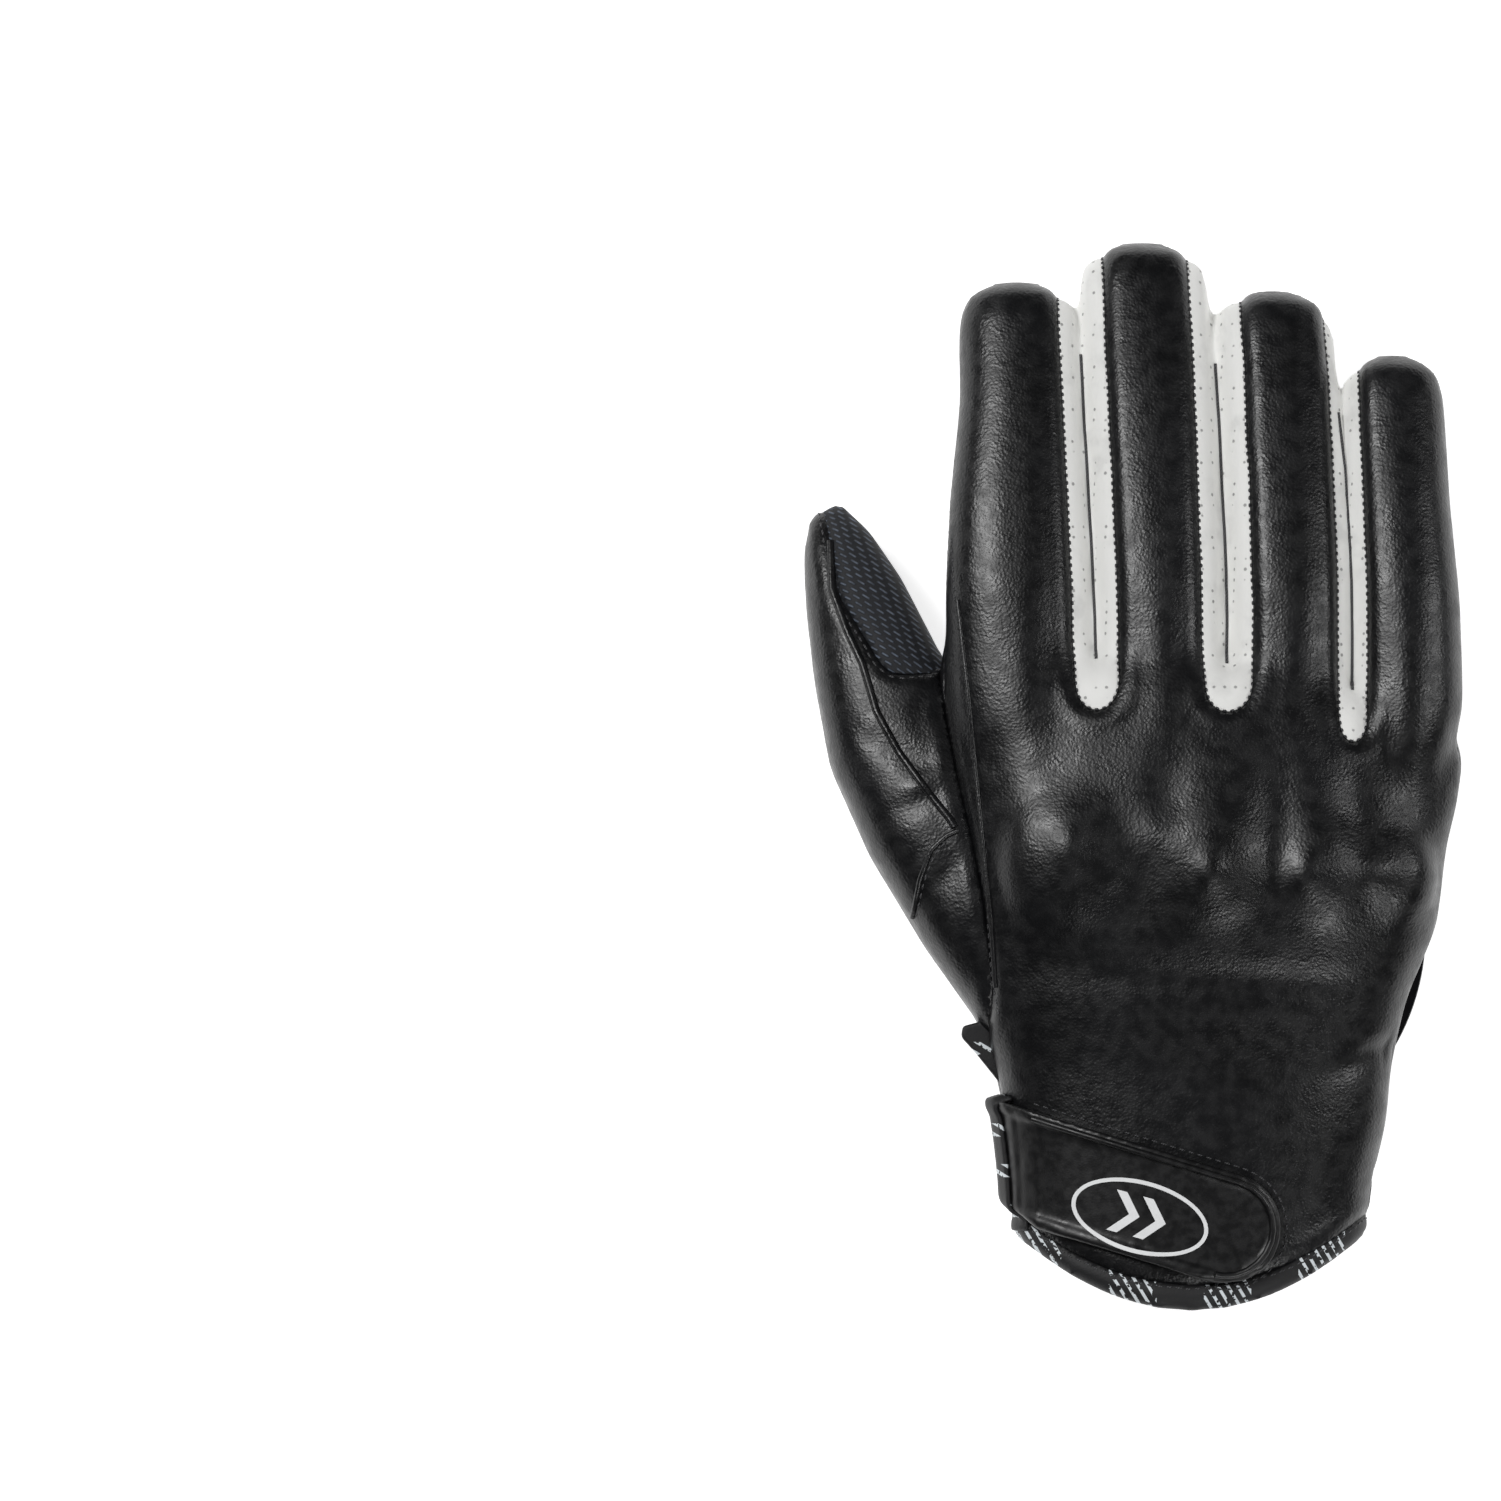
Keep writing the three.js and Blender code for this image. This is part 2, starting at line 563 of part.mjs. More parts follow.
const leather = new THREE.MeshStandardMaterial({ color: 0x141416, roughness: 0.42, metalness: 0 });
const whiteLeather = new THREE.MeshStandardMaterial({ color: 0xe9e9e4, roughness: 0.7, metalness: 0 });
const weave = new THREE.MeshStandardMaterial({ color: 0x262b33, roughness: 0.85, metalness: 0 });
const elastic = new THREE.MeshStandardMaterial({ color: 0x16171a, roughness: 0.95, metalness: 0 });
const tape = new THREE.MeshStandardMaterial({ color: 0x101012, roughness: 0.6, metalness: 0 });
const plastic = new THREE.MeshStandardMaterial({ color: 0x0b0b0c, roughness: 0.2, metalness: 0 });

const palmLeather = padRooms.reduce((all, room) => all.subtract(room), palmSide).subtract(elasticRoom);
const pieces = [
  ['puck', puck(), plastic],
  ['loop_patch', loopPatch(), elastic],
  ['back_leather', mainShell.intersect(above), leather],
  ['palm_leather', palmLeather, leather],
  ['elastic_band', palmSide.intersect(elasticZone), elastic],
  ['thumb_leather', thumbShell.subtract(thumbPadColumn(SEAM_GAP)), leather],
  ['pad_thumb', thumbShell.intersect(thumbPadColumn(0)), weave],
  ['rim_binding', rimRing(BINDING_PROUD, WALL + 2 * BINDING_PROUD, 0).subtract(vent), tape],
  ['strap', strap(), leather],
  ...FINGERS.map(({ name }, finger) => [`pad_${name}`, palmSide.intersect(padZones[finger]), weave]),
  ...GUSSETS.map(({ name }, gusset) => [name, gussets[gusset], whiteLeather]),
];

const glove = new THREE.Group();
glove.name = 'slide_glove';
for (const [name, shape, material] of pieces) {
  const mesh = new THREE.Mesh(geometryOf(shape), material);
  mesh.name = name;
  glove.add(mesh);
}

export default glove;
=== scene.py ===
import math
import bmesh
import bpy
import numpy as np
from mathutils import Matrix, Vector
from mathutils.bvhtree import BVHTree
from mathutils.kdtree import KDTree


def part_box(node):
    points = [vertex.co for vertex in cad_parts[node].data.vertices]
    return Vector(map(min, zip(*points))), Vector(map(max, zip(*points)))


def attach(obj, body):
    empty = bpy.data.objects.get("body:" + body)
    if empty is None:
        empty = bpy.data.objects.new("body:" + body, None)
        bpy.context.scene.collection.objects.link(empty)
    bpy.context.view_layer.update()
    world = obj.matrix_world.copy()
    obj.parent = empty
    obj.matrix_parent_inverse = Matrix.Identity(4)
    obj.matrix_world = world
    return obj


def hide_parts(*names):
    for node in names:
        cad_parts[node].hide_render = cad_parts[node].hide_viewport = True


# A slide glove lying palm down on its puck, seen from straight above as the photograph shows its back.
# Metres. +Y runs along the fingers, +Z is up and the thumb lies on the -X side.
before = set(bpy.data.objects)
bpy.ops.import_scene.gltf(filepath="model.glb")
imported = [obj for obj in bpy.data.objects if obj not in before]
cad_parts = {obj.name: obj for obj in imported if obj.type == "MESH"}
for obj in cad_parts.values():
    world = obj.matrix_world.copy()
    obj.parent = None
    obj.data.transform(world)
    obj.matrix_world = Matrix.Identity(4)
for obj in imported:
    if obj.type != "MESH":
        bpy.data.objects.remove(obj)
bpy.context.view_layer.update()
MM = 0.001

# The photograph's frame: its scale, and the glove's origin in its back view and in its palm view
PHOTO_SIDE = 1501
MM_PER_PIXEL = 0.2218
BACK_ORIGIN_PIXEL = (1203, 934)
PALM_ORIGIN_PIXEL = (301, 905)
GLOVE_HEIGHT = 45 * MM
CAMERA_HEIGHT = 3.5
FLOOR_LEVEL = -0.2 * MM
FLOOR_CORNERS = [(-6, -6), (6, -6), (6, 6), (-6, 6)]
SENSOR = 36

# The skin is remeshed to even quads, smoothed, and cut into its panels
VOXEL = 0.9 * MM
INFLATE = 0.48 * MM
SMOOTHING_ROUNDS = 24
SMOOTHING_SHARE = 0.5
REGION_EDGE = 8
REGAIN = 0.12 * MM
PANEL_THICKNESS = 0.8 * MM
SEAM_ROUNDS = 40
SEAM_RINGS = 6
SEAM_RELAXING = 30
SEAM_DEPTH = 0.55 * MM
SEAM_REACH = 1.1 * MM
PANEL_PUFF = 0.25 * MM
PUFF_DISTANCE = 3.2 * MM
PUFF_REACH = 1.6 * MM
SEAM_LEVEL = 34.8 * MM

# The puck and its patch
TURNED_SIDES = 192
SHARP_ANGLE = math.radians(20)
PUCK_FACE = 44.5 * MM
PUCK_BEVEL = 6 * MM
PUCK_EDGE = 0.7 * MM
PUCK_EDGE_STEPS = 4
PATCH_EDGE_STEPS = 3
DOWNWARD = -0.9
PATCH_TOP = 17.4 * MM
PATCH_EDGE = 0.6 * MM

# The cuff's vent
VENT_APEX_Y = -27
VENT_HALF_PER_MM = 0.05
VENT_FOOT_Y = -67
VENT_ROWS = 9
VENT_MARGIN = 0.7
VENT_PROBE_LIFT = 0.4 * MM
VENT_DEPTH = 2.2 * MM
VENT_X = -42 * MM
PLUG_INSET = 0.2 * MM

# Faces farther than this from every CAD node, in the cuff's mouth, lie on the plug
MOUTH_GAP = 1.3 * MM
MOUTH_Y = -60 * MM
VENT_CLEARANCE = 2.5 * MM

# Parts of the back that are smoothed further: lowest and highest x and y in mm, and the rounds
SMOOTHER_REGIONS = [
    ((-52, -12), (54, 44), 40),
    ((-60, 42), (60, 80), 45),
]
LEAST_ISLAND = 90
VOTE_ROUNDS = 9
TONGUE_ROUNDS = 9

# The woven pads' threads, in mm
THREAD_WIDTH = 1.15
THREAD_LENGTH = 2.9
THREAD_SHIFT = 1.25

BACK, PALM = 1, -1
RAY_START = 0.2
LEFT_START = 0.09
VENT_TAPE_UPS = (0.5, 2.3, 4.1, 5.9, 7.5)
VENT_TAPE_RUN = (-36, -66, 31)

# The strap's moulded form
STRAP_SWELL = 0.1 * MM
STRAP_VOXEL = 0.45 * MM
STRAP_ROUNDS = 4

# Thread, tape and print, with the stitches of a sewn line in mm
STITCH_PITCH = 2.1
STITCH_LENGTH = 1.5
STITCH_WIDTH = 0.55
WELT_STEP = 1.2
# The step of the dark cords painted as shadow in the gusset slits
SLIT_SHADOW_STEP = 1.0
PIPING_STEP = 0.8
PIPING_RADIUS = 0.75
PIPING_LIFT = 0.2
WELT_LIFT = 0.1
TAPE_VOXEL = 0.4 * MM
TAPE_ROUNDS = 8
SHORTEST_SEAM = 8
STITCH_HEIGHT = 0.35
TAPE_PROUD = 0.5 * MM
TAPE_THICKNESS = 1.2 * MM
# Radius and lift of the dark cords painted as shadow in the gusset slits
SLIT_SHADOW_RADIUS = 0.34 * MM
SLIT_SHADOW_LIFT = 0.1
STRAP_FOOT = (-41, -51)
STRAP_TURN = -17
STRAP_REACH = 60
STRAP_HALF = 12.25
STRAP_END_STEPS = 12
STRAP_STITCH_OFFSET = 1.5
PIPING_OFFSET = -1.7
MARK_PLACE = (-14.2, -62.5)
MARK_TURN = -15
MARK_LENGTH = 15
MARK_WIDTH = 7.6
MARK_LINE = 0.9
MARK_HEIGHT = 0.09 * MM
MARK_STEPS = 64
CHEVRON_STARTS = (-6.5, -0.5)
CHEVRON_REACH = 4
CHEVRON_HALF = 4.6
CHEVRON_WIDTH = 2.4
CHEVRON_STEPS = 9

# The cuff's bound corner, its outline in mm and its faces' heights over the seam
TAB_OUTLINE = [
    (-45, -17.5), (-49, -19.5), (-53.2, -20.6), (-53.6, -23),
    (-50.4, -26.5), (-46, -32), (-41.5, -38), (-40, -30),
]
TAB_UPS = (-1.2 * MM, 1.6 * MM)

# Sewn lines and welts, through pixels of the view that shows them
PHOTO_SEAMS = [
    ("hand_side", BACK, [(952, 541), (955, 599), (964, 672), (972, 755), (977, 799), (986, 853), (988, 926),
                         (992, 981), (1000, 1020)]),
    ("thumb_base", BACK, [(957, 832), (935, 853), (924, 882), (917, 915)]),
    ("palm_v_left", PALM, [(425, 708), (440, 722), (454, 740)]),
    ("palm_v_right", PALM, [(463, 680), (459, 712), (454, 740)]),
    ("palm_v_inner", PALM, [(434, 698), (448, 716), (455, 728)]),
]
WELTS = [
    ("thumb", BACK, 0.9, [(831, 540), (832, 588), (848, 632), (863, 664), (877, 712), (899, 752), (928, 792),
                          (950, 819), (957, 831)]),
    ("hand_side", BACK, 0.6, [(958, 600), (967, 680), (975, 760), (983, 840), (991, 920), (996, 990)]),
    ("thumb_base", BACK, 0.6, [(957, 831), (946, 836), (931, 850), (920, 880), (913, 918)]),
]
# Dark cords down the middle of the gussets, painted shadow in the slit of each fold, through places in mm
GUSSET_SLIT_SHADOWS = [
    ("index_middle", [(-26.7, 129), (-25.9, 112), (-25.0, 96), (-24.2, 80), (-23.8, 70), (-23.6, 60.5)]),
    ("middle_ring", [(3.3, 127), (4.1, 112), (4.8, 96), (5.5, 80), (5.6, 70), (5.4, 60)]),
    ("ring_little", [(30.6, 116), (31.9, 104), (32.6, 92), (33.3, 78), (33.4, 66), (33.3, 54)]),
]

# Seams sewn beside their edge: the panel that carries the stitches, the other one, pitch, shift, length, width
SEWN_SEAMS = [
    ("gusset_index_middle", "back_leather", 1.7, 0.1, 1.0, 0.55),
    ("gusset_middle_ring", "back_leather", 1.7, 0.1, 1.0, 0.55),
    ("gusset_ring_little", "back_leather", 1.7, 0.1, 1.0, 0.55),
    ("gusset_index_middle", "palm_leather", 1.7, 0.1, 1.0, 0.55),
    ("gusset_middle_ring", "palm_leather", 1.7, 0.1, 1.0, 0.55),
    ("gusset_ring_little", "palm_leather", 1.7, 0.1, 1.0, 0.55),
    ("palm_leather", "pad_index", 2.1, 1.4, 1.5, 0.55),
    ("palm_leather", "pad_middle", 2.1, 1.4, 1.5, 0.55),
    ("palm_leather", "pad_ring", 2.1, 1.4, 1.5, 0.55),
    ("palm_leather", "pad_little", 2.1, 1.4, 1.5, 0.55),
    ("palm_leather", "elastic_band", 2.1, 1.6, 1.5, 0.55),
    ("back_leather", "palm_leather", 2.3, 1.3, 1.6, 0.5),
    ("thumb_leather", "pad_thumb", 2.1, 1.3, 1.5, 0.55),
    ("rim_binding", "back_leather", 2.1, 0.9, 1.4, 0.5),
]

SKIN_NODES = [
    "back_leather", "palm_leather", "thumb_leather", "elastic_band", "rim_binding",
    "gusset_index_middle", "gusset_middle_ring", "gusset_ring_little",
    "pad_index", "pad_middle", "pad_ring", "pad_little", "pad_thumb",
]

# Dents and ridges of the leather: x, y, length and width in mm, angle in degrees from +X, depth in mm
# inwards, or outwards where it is negative.
DENTS = [
    {"side": BACK, "x": -9, "y": 30, "angle": 82, "length": 13, "width": 5, "depth": 1.0},
    {"side": BACK, "x": 16, "y": 29, "angle": 90, "length": 12, "width": 5, "depth": 1.0},
    {"side": BACK, "x": 34, "y": 27, "angle": 95, "length": 10, "width": 4, "depth": 0.8},
    {"side": BACK, "x": 5, "y": -10, "angle": -3, "length": 34, "width": 4, "depth": 0.7},
    {"side": BACK, "x": 40, "y": -26, "angle": 20, "length": 10, "width": 3, "depth": 1.2},
    {"side": BACK, "x": -40, "y": 45, "angle": 88, "length": 26, "width": 5, "depth": -0.7},
    {"side": BACK, "x": -9, "y": 55, "angle": 90, "length": 22, "width": 5, "depth": -0.6},
    {"side": BACK, "x": 20, "y": 52, "angle": 92, "length": 20, "width": 5, "depth": -0.5},
    {"side": BACK, "x": 46, "y": 48, "angle": 92, "length": 18, "width": 4, "depth": -0.5},
    {"side": BACK, "x": -30, "y": 19.5, "angle": 90, "length": 5.5, "width": 4, "depth": -1.0},
    {"side": BACK, "x": -10.6, "y": 23, "angle": 90, "length": 7, "width": 5, "depth": -1.2},
    {"side": BACK, "x": -19.5, "y": 13.7, "angle": 90, "length": 4, "width": 3.4, "depth": -0.5},
    {"side": BACK, "x": 1, "y": 14, "angle": 90, "length": 5, "width": 3.6, "depth": -0.9},
    {"side": BACK, "x": 22, "y": 13.5, "angle": 90, "length": 5, "width": 3.8, "depth": -0.9},
    {"side": BACK, "x": 37.5, "y": 13.7, "angle": 90, "length": 4.5, "width": 3.6, "depth": -0.8},
    {"side": BACK, "x": -69, "y": 41, "angle": 152, "length": 9, "width": 3, "depth": 0.5},
    {"side": BACK, "x": -64, "y": 29, "angle": 20, "length": 6, "width": 3.2, "depth": 0.3},
    {"side": BACK, "x": -62, "y": 33.5, "angle": 30, "length": 5, "width": 2.4, "depth": -0.6},
    {"side": BACK, "x": -58, "y": 12, "angle": 50, "length": 9, "width": 3, "depth": 0.6},
    {"side": PALM, "x": 34, "y": 50, "angle": 20, "length": 16, "width": 2, "depth": 0.8},
    {"side": PALM, "x": -20, "y": 62, "angle": -14, "length": 14, "width": 2, "depth": 0.7},
    {"side": PALM, "x": -46, "y": 30, "angle": 75, "length": 15, "width": 2.4, "depth": 0.9},
    {"side": PALM, "x": -60, "y": 20, "angle": 120, "length": 14, "width": 2.4, "depth": 0.9},
    {"side": PALM, "x": 42, "y": 84, "angle": 8, "length": 7, "width": 1.6, "depth": 0.5},
    {"side": PALM, "x": 18, "y": 90, "angle": -5, "length": 8, "width": 1.6, "depth": 0.5},
    {"side": PALM, "x": -10, "y": 92, "angle": 4, "length": 8, "width": 1.6, "depth": 0.5},
    {"side": PALM, "x": -40, "y": 88, "angle": -4, "length": 8, "width": 1.6, "depth": 0.5},
]


def back_place(x, y):
    """A place on the back, in metres, from a pixel of the photograph's back view."""
    return ((x - BACK_ORIGIN_PIXEL[0]) * MM_PER_PIXEL * MM, (BACK_ORIGIN_PIXEL[1] - y) * MM_PER_PIXEL * MM)


def palm_place(x, y):
    """A place on the palm side, in metres, from a pixel of the photograph's palm view."""
    return (-(x - PALM_ORIGIN_PIXEL[0]) * MM_PER_PIXEL * MM, (PALM_ORIGIN_PIXEL[1] - y) * MM_PER_PIXEL * MM)


# Meshes as arrays

def new_object(name, mesh):
    thing = bpy.data.objects.new(name, mesh)
    bpy.context.scene.collection.objects.link(thing)
    return thing


def mesh_from(name, places, faces):
    mesh = bpy.data.meshes.new(name)
    mesh.from_pydata([tuple(place) for place in places], [], [tuple(int(k) for k in face) for face in faces])
    mesh.update()
    return mesh


def welded_node(node):
    """A welded copy of a CAD node's mesh."""
    shape = bmesh.new()
    shape.from_mesh(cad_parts[node].data)
    bmesh.ops.remove_doubles(shape, verts=shape.verts, dist=1e-6)
    bmesh.ops.recalc_face_normals(shape, faces=shape.faces)
    shape.normal_update()
    shape.verts.index_update()
    return shape


def baked(thing):
    """Applies every modifier of an object."""
    bpy.ops.object.select_all(action="DESELECT")
    thing.select_set(True)
    bpy.context.view_layer.objects.active = thing
    for modifier in list(thing.modifiers):
        bpy.ops.object.modifier_apply(modifier=modifier.name)
    return thing


def remeshed(thing, voxel):
    modifier = thing.modifiers.new("remesh", "REMESH")
    modifier.mode = "VOXEL"
    modifier.voxel_size = voxel
    return baked(thing)


def mesh_places(mesh):
    places = np.empty(len(mesh.vertices) * 3, np.float32)
    mesh.vertices.foreach_get("co", places)
    return places.reshape(-1, 3).astype(float)


def mesh_edges(mesh):
    edges = np.empty(len(mesh.edges) * 2, np.int32)
    mesh.edges.foreach_get("vertices", edges)
    return edges.reshape(-1, 2).astype(np.int64)


def mesh_quads(mesh):
    corners = np.empty(len(mesh.loops), np.int32)
    mesh.loops.foreach_get("vertex_index", corners)
    return corners.reshape(-1, 4).astype(np.int64)


def set_places(mesh, places):
    mesh.vertices.foreach_set("co", places.astype(np.float32).ravel())
    mesh.update()


def mesh_normals(mesh):
    normals = np.empty(len(mesh.vertices) * 3, np.float32)
    mesh.vertex_normals.foreach_get("vector", normals)
    return normals.reshape(-1, 3).astype(float)


def smoothed(places, edges, rounds, freedom=None):
    """Laplacian smoothing of places joined by edges. freedom says how far each may follow, from 0 to 1."""
    count = len(places)
    ends = np.concatenate([edges[:, 0], edges[:, 1]])
    others = np.concatenate([edges[:, 1], edges[:, 0]])
    joined = np.bincount(ends, minlength=count)
    share = SMOOTHING_SHARE * (joined > 0) * (1 if freedom is None else freedom)
    for _ in range(rounds):
        mean = np.stack([
            np.bincount(ends, weights=places[others, axis], minlength=count) for axis in range(3)
        ], axis=1) / np.maximum(joined, 1)[:, None]
        places = places + share[:, None] * (mean - places)
    return places


def shade_smooth(mesh):
    mesh.polygons.foreach_set("use_smooth", np.ones(len(mesh.polygons), bool))
    mesh.update()


def softened(thing):
    """Remeshes and rounds off a folded tape."""
    remeshed(thing, TAPE_VOXEL)
    set_places(thing.data, smoothed(mesh_places(thing.data), mesh_edges(thing.data), TAPE_ROUNDS))
    shade_smooth(thing.data)
    return thing


def nearest_distance(places, targets):
    """How far each place is from the nearest target."""
    tree = KDTree(len(targets))
    for index, target in enumerate(targets):
        tree.insert(target, index)
    tree.balance()
    return np.array([tree.find(place)[2] for place in places])


# The glove's outer skin

def rim_plug():
    """The space inside the rim tape, closed, so that the outer skin can be told from the hollow."""
    tape = welded_node("rim_binding")
    plug = bmesh.new()
    for vertex in tape.verts:
        plug.verts.new(vertex.co - vertex.normal * PLUG_INSET)
    bmesh.ops.convex_hull(plug, input=plug.verts)
    bmesh.ops.delete(plug, geom=[vertex for vertex in plug.verts if not vertex.link_faces])
    bmesh.ops.recalc_face_normals(plug, faces=plug.faces)
    return plug


def vent_filler(tree):
    """Closes the cuff's vent, whose edges meet under the strap."""
    rows = []
    for y in np.linspace(VENT_FOOT_Y, VENT_APEX_Y + 1, VENT_ROWS):
        half = (VENT_HALF_PER_MM * max(0, VENT_APEX_Y - y) + VENT_MARGIN) * MM
        start = Vector((-LEFT_START, y * MM, SEAM_LEVEL + half + VENT_PROBE_LIFT))
        hit = tree.ray_cast(start, Vector((1, 0, 0)))[0]
        x = hit.x if hit else VENT_X
        rows.append([(x + across, y * MM, SEAM_LEVEL + up)
                     for across, up in ((0, -half), (VENT_DEPTH, -half), (VENT_DEPTH, half), (0, half))])
    places = [place for row in rows for place in row]
    faces = [(0, 1, 2, 3), tuple(len(places) - 1 - corner for corner in range(4))]
    for row in range(len(rows) - 1):
        for side in range(4):
            a, b = row * 4 + side, row * 4 + (side + 1) % 4
            faces.append((a, a + 4, b + 4, b))
    filler = bmesh.new()
    filler.from_mesh(mesh_from("vent_filler", places, faces))
    bmesh.ops.recalc_face_normals(filler, faces=filler.faces)
    return filler


def append(joined, shape):
    part = bpy.data.meshes.new("part")
    shape.to_mesh(part)
    joined.from_mesh(part)
    bpy.data.meshes.remove(part)


def node_tree():
    """A tree over the CAD nodes of the skin, with the node of each of its faces."""
    places, faces, owners = [], [], []
    for owner, node in enumerate(SKIN_NODES):
        shape = welded_node(node)
        offset = len(places)
        places.extend(vertex.co.copy() for vertex in shape.verts)
        for face in shape.faces:
            faces.append([offset + vertex.index for vertex in face.verts])
            owners.append(owner)
    return BVHTree.FromPolygons(places, faces), np.array(owners)


def outer_skin(tree):
    """One even quad mesh of the whole outside, without the hollow."""
    joined = bmesh.new()
    for node in SKIN_NODES:
        shape = welded_node(node)
        for vertex in shape.verts:
            vertex.co += vertex.normal * INFLATE
        append(joined, shape)
    append(joined, rim_plug())
    append(joined, vent_filler(tree))
    mesh = bpy.data.meshes.new("skin")
    joined.to_mesh(mesh)
    skin = remeshed(new_object("skin", mesh), VOXEL)
    shape = bmesh.new()
    shape.from_mesh(skin.data)
    seen, groups = set(), []
    for start in shape.verts:
        if start in seen:
            continue
        group, waiting = [], [start]
        seen.add(start)
        while waiting:
            vertex = waiting.pop()
            group.append(vertex)
            for edge in vertex.link_edges:
                other = edge.other_vert(vertex)
                if other not in seen:
                    seen.add(other)
                    waiting.append(other)
        groups.append(group)
    groups.sort(key=len, reverse=True)
    for group in groups[1:]:
        bmesh.ops.delete(shape, geom=group)
    shape.to_mesh(skin.data)
    return skin


def panel_labels(places, quads, tree, owners):
    """The CAD node that each face of the skin lies on, or -1 on the plug in the cuff's mouth."""
    centres = places[quads].mean(axis=1)
    labels = np.empty(len(quads), int)
    for index, centre in enumerate(centres):
        _, _, face, distance = tree.find_nearest(centre)
        beside_vent = abs(centre[0] - VENT_X) > VENT_CLEARANCE
        inside_mouth = distance > MOUTH_GAP and centre[1] < MOUTH_Y and beside_vent
        labels[index] = -1 if inside_mouth else owners[face]
    return labels


def majority(labels, quads, count):
    """Takes single stray faces out of the labels by a vote among neighbours."""
    for _ in range(VOTE_ROUNDS):
        votes = np.zeros((count, labels.max() + 2))
        for corner in range(4):
            np.add.at(votes, (quads[:, corner], labels + 1), 1)
        total = votes[quads].sum(axis=1)
        total[np.arange(len(quads)), labels + 1] += 0.5
        labels = total.argmax(axis=1) - 1
    return labels


def shared_sides(quads):
    """The edges that two faces share, with the two faces."""
    sides = np.sort(np.concatenate([quads[:, [k, (k + 1) % 4]] for k in range(4)]), axis=1)
    face = np.tile(np.arange(len(quads)), 4)
    order = np.lexsort((sides[:, 1], sides[:, 0]))
    sides, face = sides[order], face[order]
    same = (sides[1:] == sides[:-1]).all(axis=1)
    return sides[1:][same], face[:-1][same], face[1:][same]


def without_islands(labels, quads):
    """Gives each small island of faces to the panel beside it."""
    _, first, second = shared_sides(quads)
    alike = labels[first] == labels[second]
    group = np.arange(len(quads))
    while True:
        low = np.minimum(group[first[alike]], group[second[alike]])
        joined = group.copy()
        np.minimum.at(joined, first[alike], low)
        np.minimum.at(joined, second[alike], low)
        joined = joined[joined]
        if (joined == group).all():
            break
        group = joined
    size = np.bincount(group, minlength=len(quads))[group]
    labels = labels.copy()
    for mine, other in ((first, second), (second, first)):
        border = ~alike & (size[mine] < LEAST_ISLAND) & (size[other] >= LEAST_ISLAND)
        for island, label in zip(group[mine[border]], labels[other[border]]):
            labels[group == island] = label
    return labels


def without_tongues(labels, quads):
    """Gives each face that stands out of its panel on three sides to the panel beside it."""
    _, first, second = shared_sides(quads)
    labels = labels.copy()
    for _ in range(TONGUE_ROUNDS):
        unlike = labels[first] != labels[second]
        sides = np.bincount(np.concatenate([first[unlike], second[unlike]]), minlength=len(quads))
        for mine, other in ((first, second), (second, first)):
            tongue = unlike & (sides[mine] >= 3)
            labels[mine[tongue]] = labels[other[tongue]]
    return labels


def panels_met(seams, pairs, count):
    """How many panels meet at each vertex."""
    met = np.zeros((count, len(SKIN_NODES) + 1), bool)
    for end in range(2):
        for side in range(2):
            met[seams[:, end], pairs[:, side] + 1] = True
    return met.sum(axis=1)


def seam_edges(quads, labels):
    """The edges between faces of unlike labels, with both labels."""
    sides, first, second = shared_sides(quads)
    unlike = labels[first] != labels[second]
    return sides[unlike], np.stack([labels[first], labels[second]], axis=1)[unlike]


def pressed(places, normals):
    """The leather's dents and ridges."""
    x, y = places[:, 0] / MM, places[:, 1] / MM
    move = np.zeros(len(places))
    for dent in DENTS:
        turn = math.radians(dent["angle"])
        along = (x - dent["x"]) * math.cos(turn) + (y - dent["y"]) * math.sin(turn)
        across = (y - dent["y"]) * math.cos(turn) - (x - dent["x"]) * math.sin(turn)
        facing = np.clip(normals[:, 2] * dent["side"] * 2, 0, 1)
        fall = np.exp(-(along / dent["length"]) ** 2 - (across / dent["width"]) ** 2)
        move -= dent["depth"] * MM * fall * facing
    return move


def build_skin(tree, owners):
    skin = outer_skin(tree)
    mesh = skin.data
    places, edges, quads = mesh_places(mesh), mesh_edges(mesh), mesh_quads(mesh)
    labels = majority(panel_labels(places, quads, tree, owners), quads, len(places))
    labels = without_tongues(without_islands(labels, quads), quads)
    places = smoothed(places, edges, SMOOTHING_ROUNDS)
    seams, seam_pairs = seam_edges(quads, labels)
    met = panels_met(seams, seam_pairs, len(places))
    places = smoothed(places, seams, SEAM_ROUNDS, met == 2)
    on_seam = met > 0
    near = on_seam.copy()
    for _ in range(SEAM_RINGS):
        near[edges[near[edges].any(axis=1)].ravel()] = True
    places = smoothed(places, edges, SEAM_RELAXING, near & ~on_seam)
    set_places(mesh, places)
    normals = mesh_normals(mesh)
    for low, high, rounds in SMOOTHER_REGIONS:
        flat = places[:, :2] / MM
        inside = np.minimum(flat - low, np.array(high) - flat).min(axis=1)
        facing = np.clip((normals[:, 2] - 0.2) / 0.3, 0, 1)
        places = smoothed(places, edges, rounds, np.clip(inside / REGION_EDGE, 0, 1) * facing * ~on_seam)
    set_places(mesh, places)
    normals = mesh_normals(mesh)
    distance = nearest_distance(places, places[on_seam])
    groove = -SEAM_DEPTH * np.exp(-(distance / SEAM_REACH) ** 2)
    puff = PANEL_PUFF * np.exp(-((distance - PUFF_DISTANCE) / PUFF_REACH) ** 2)
    move = REGAIN + groove + puff + pressed(places, normals)
    set_places(mesh, places + normals * move[:, None])
    return skin, labels, seams, seam_pairs


def panel(skin, labels, owner, name):
    """One panel of the skin as a piece of its own, with its thickness inwards."""
    quads = mesh_quads(skin.data)[labels == owner]
    used, faces = np.unique(quads, return_inverse=True)
    mesh = mesh_from(name, mesh_places(skin.data)[used], faces.reshape(-1, 4))
    thing = new_object(name, mesh)
    modifier = thing.modifiers.new("thickness", "SOLIDIFY")
    modifier.thickness = PANEL_THICKNESS
    modifier.offset = -1
    baked(thing)
    shade_smooth(thing.data)
    return thing


# Materials

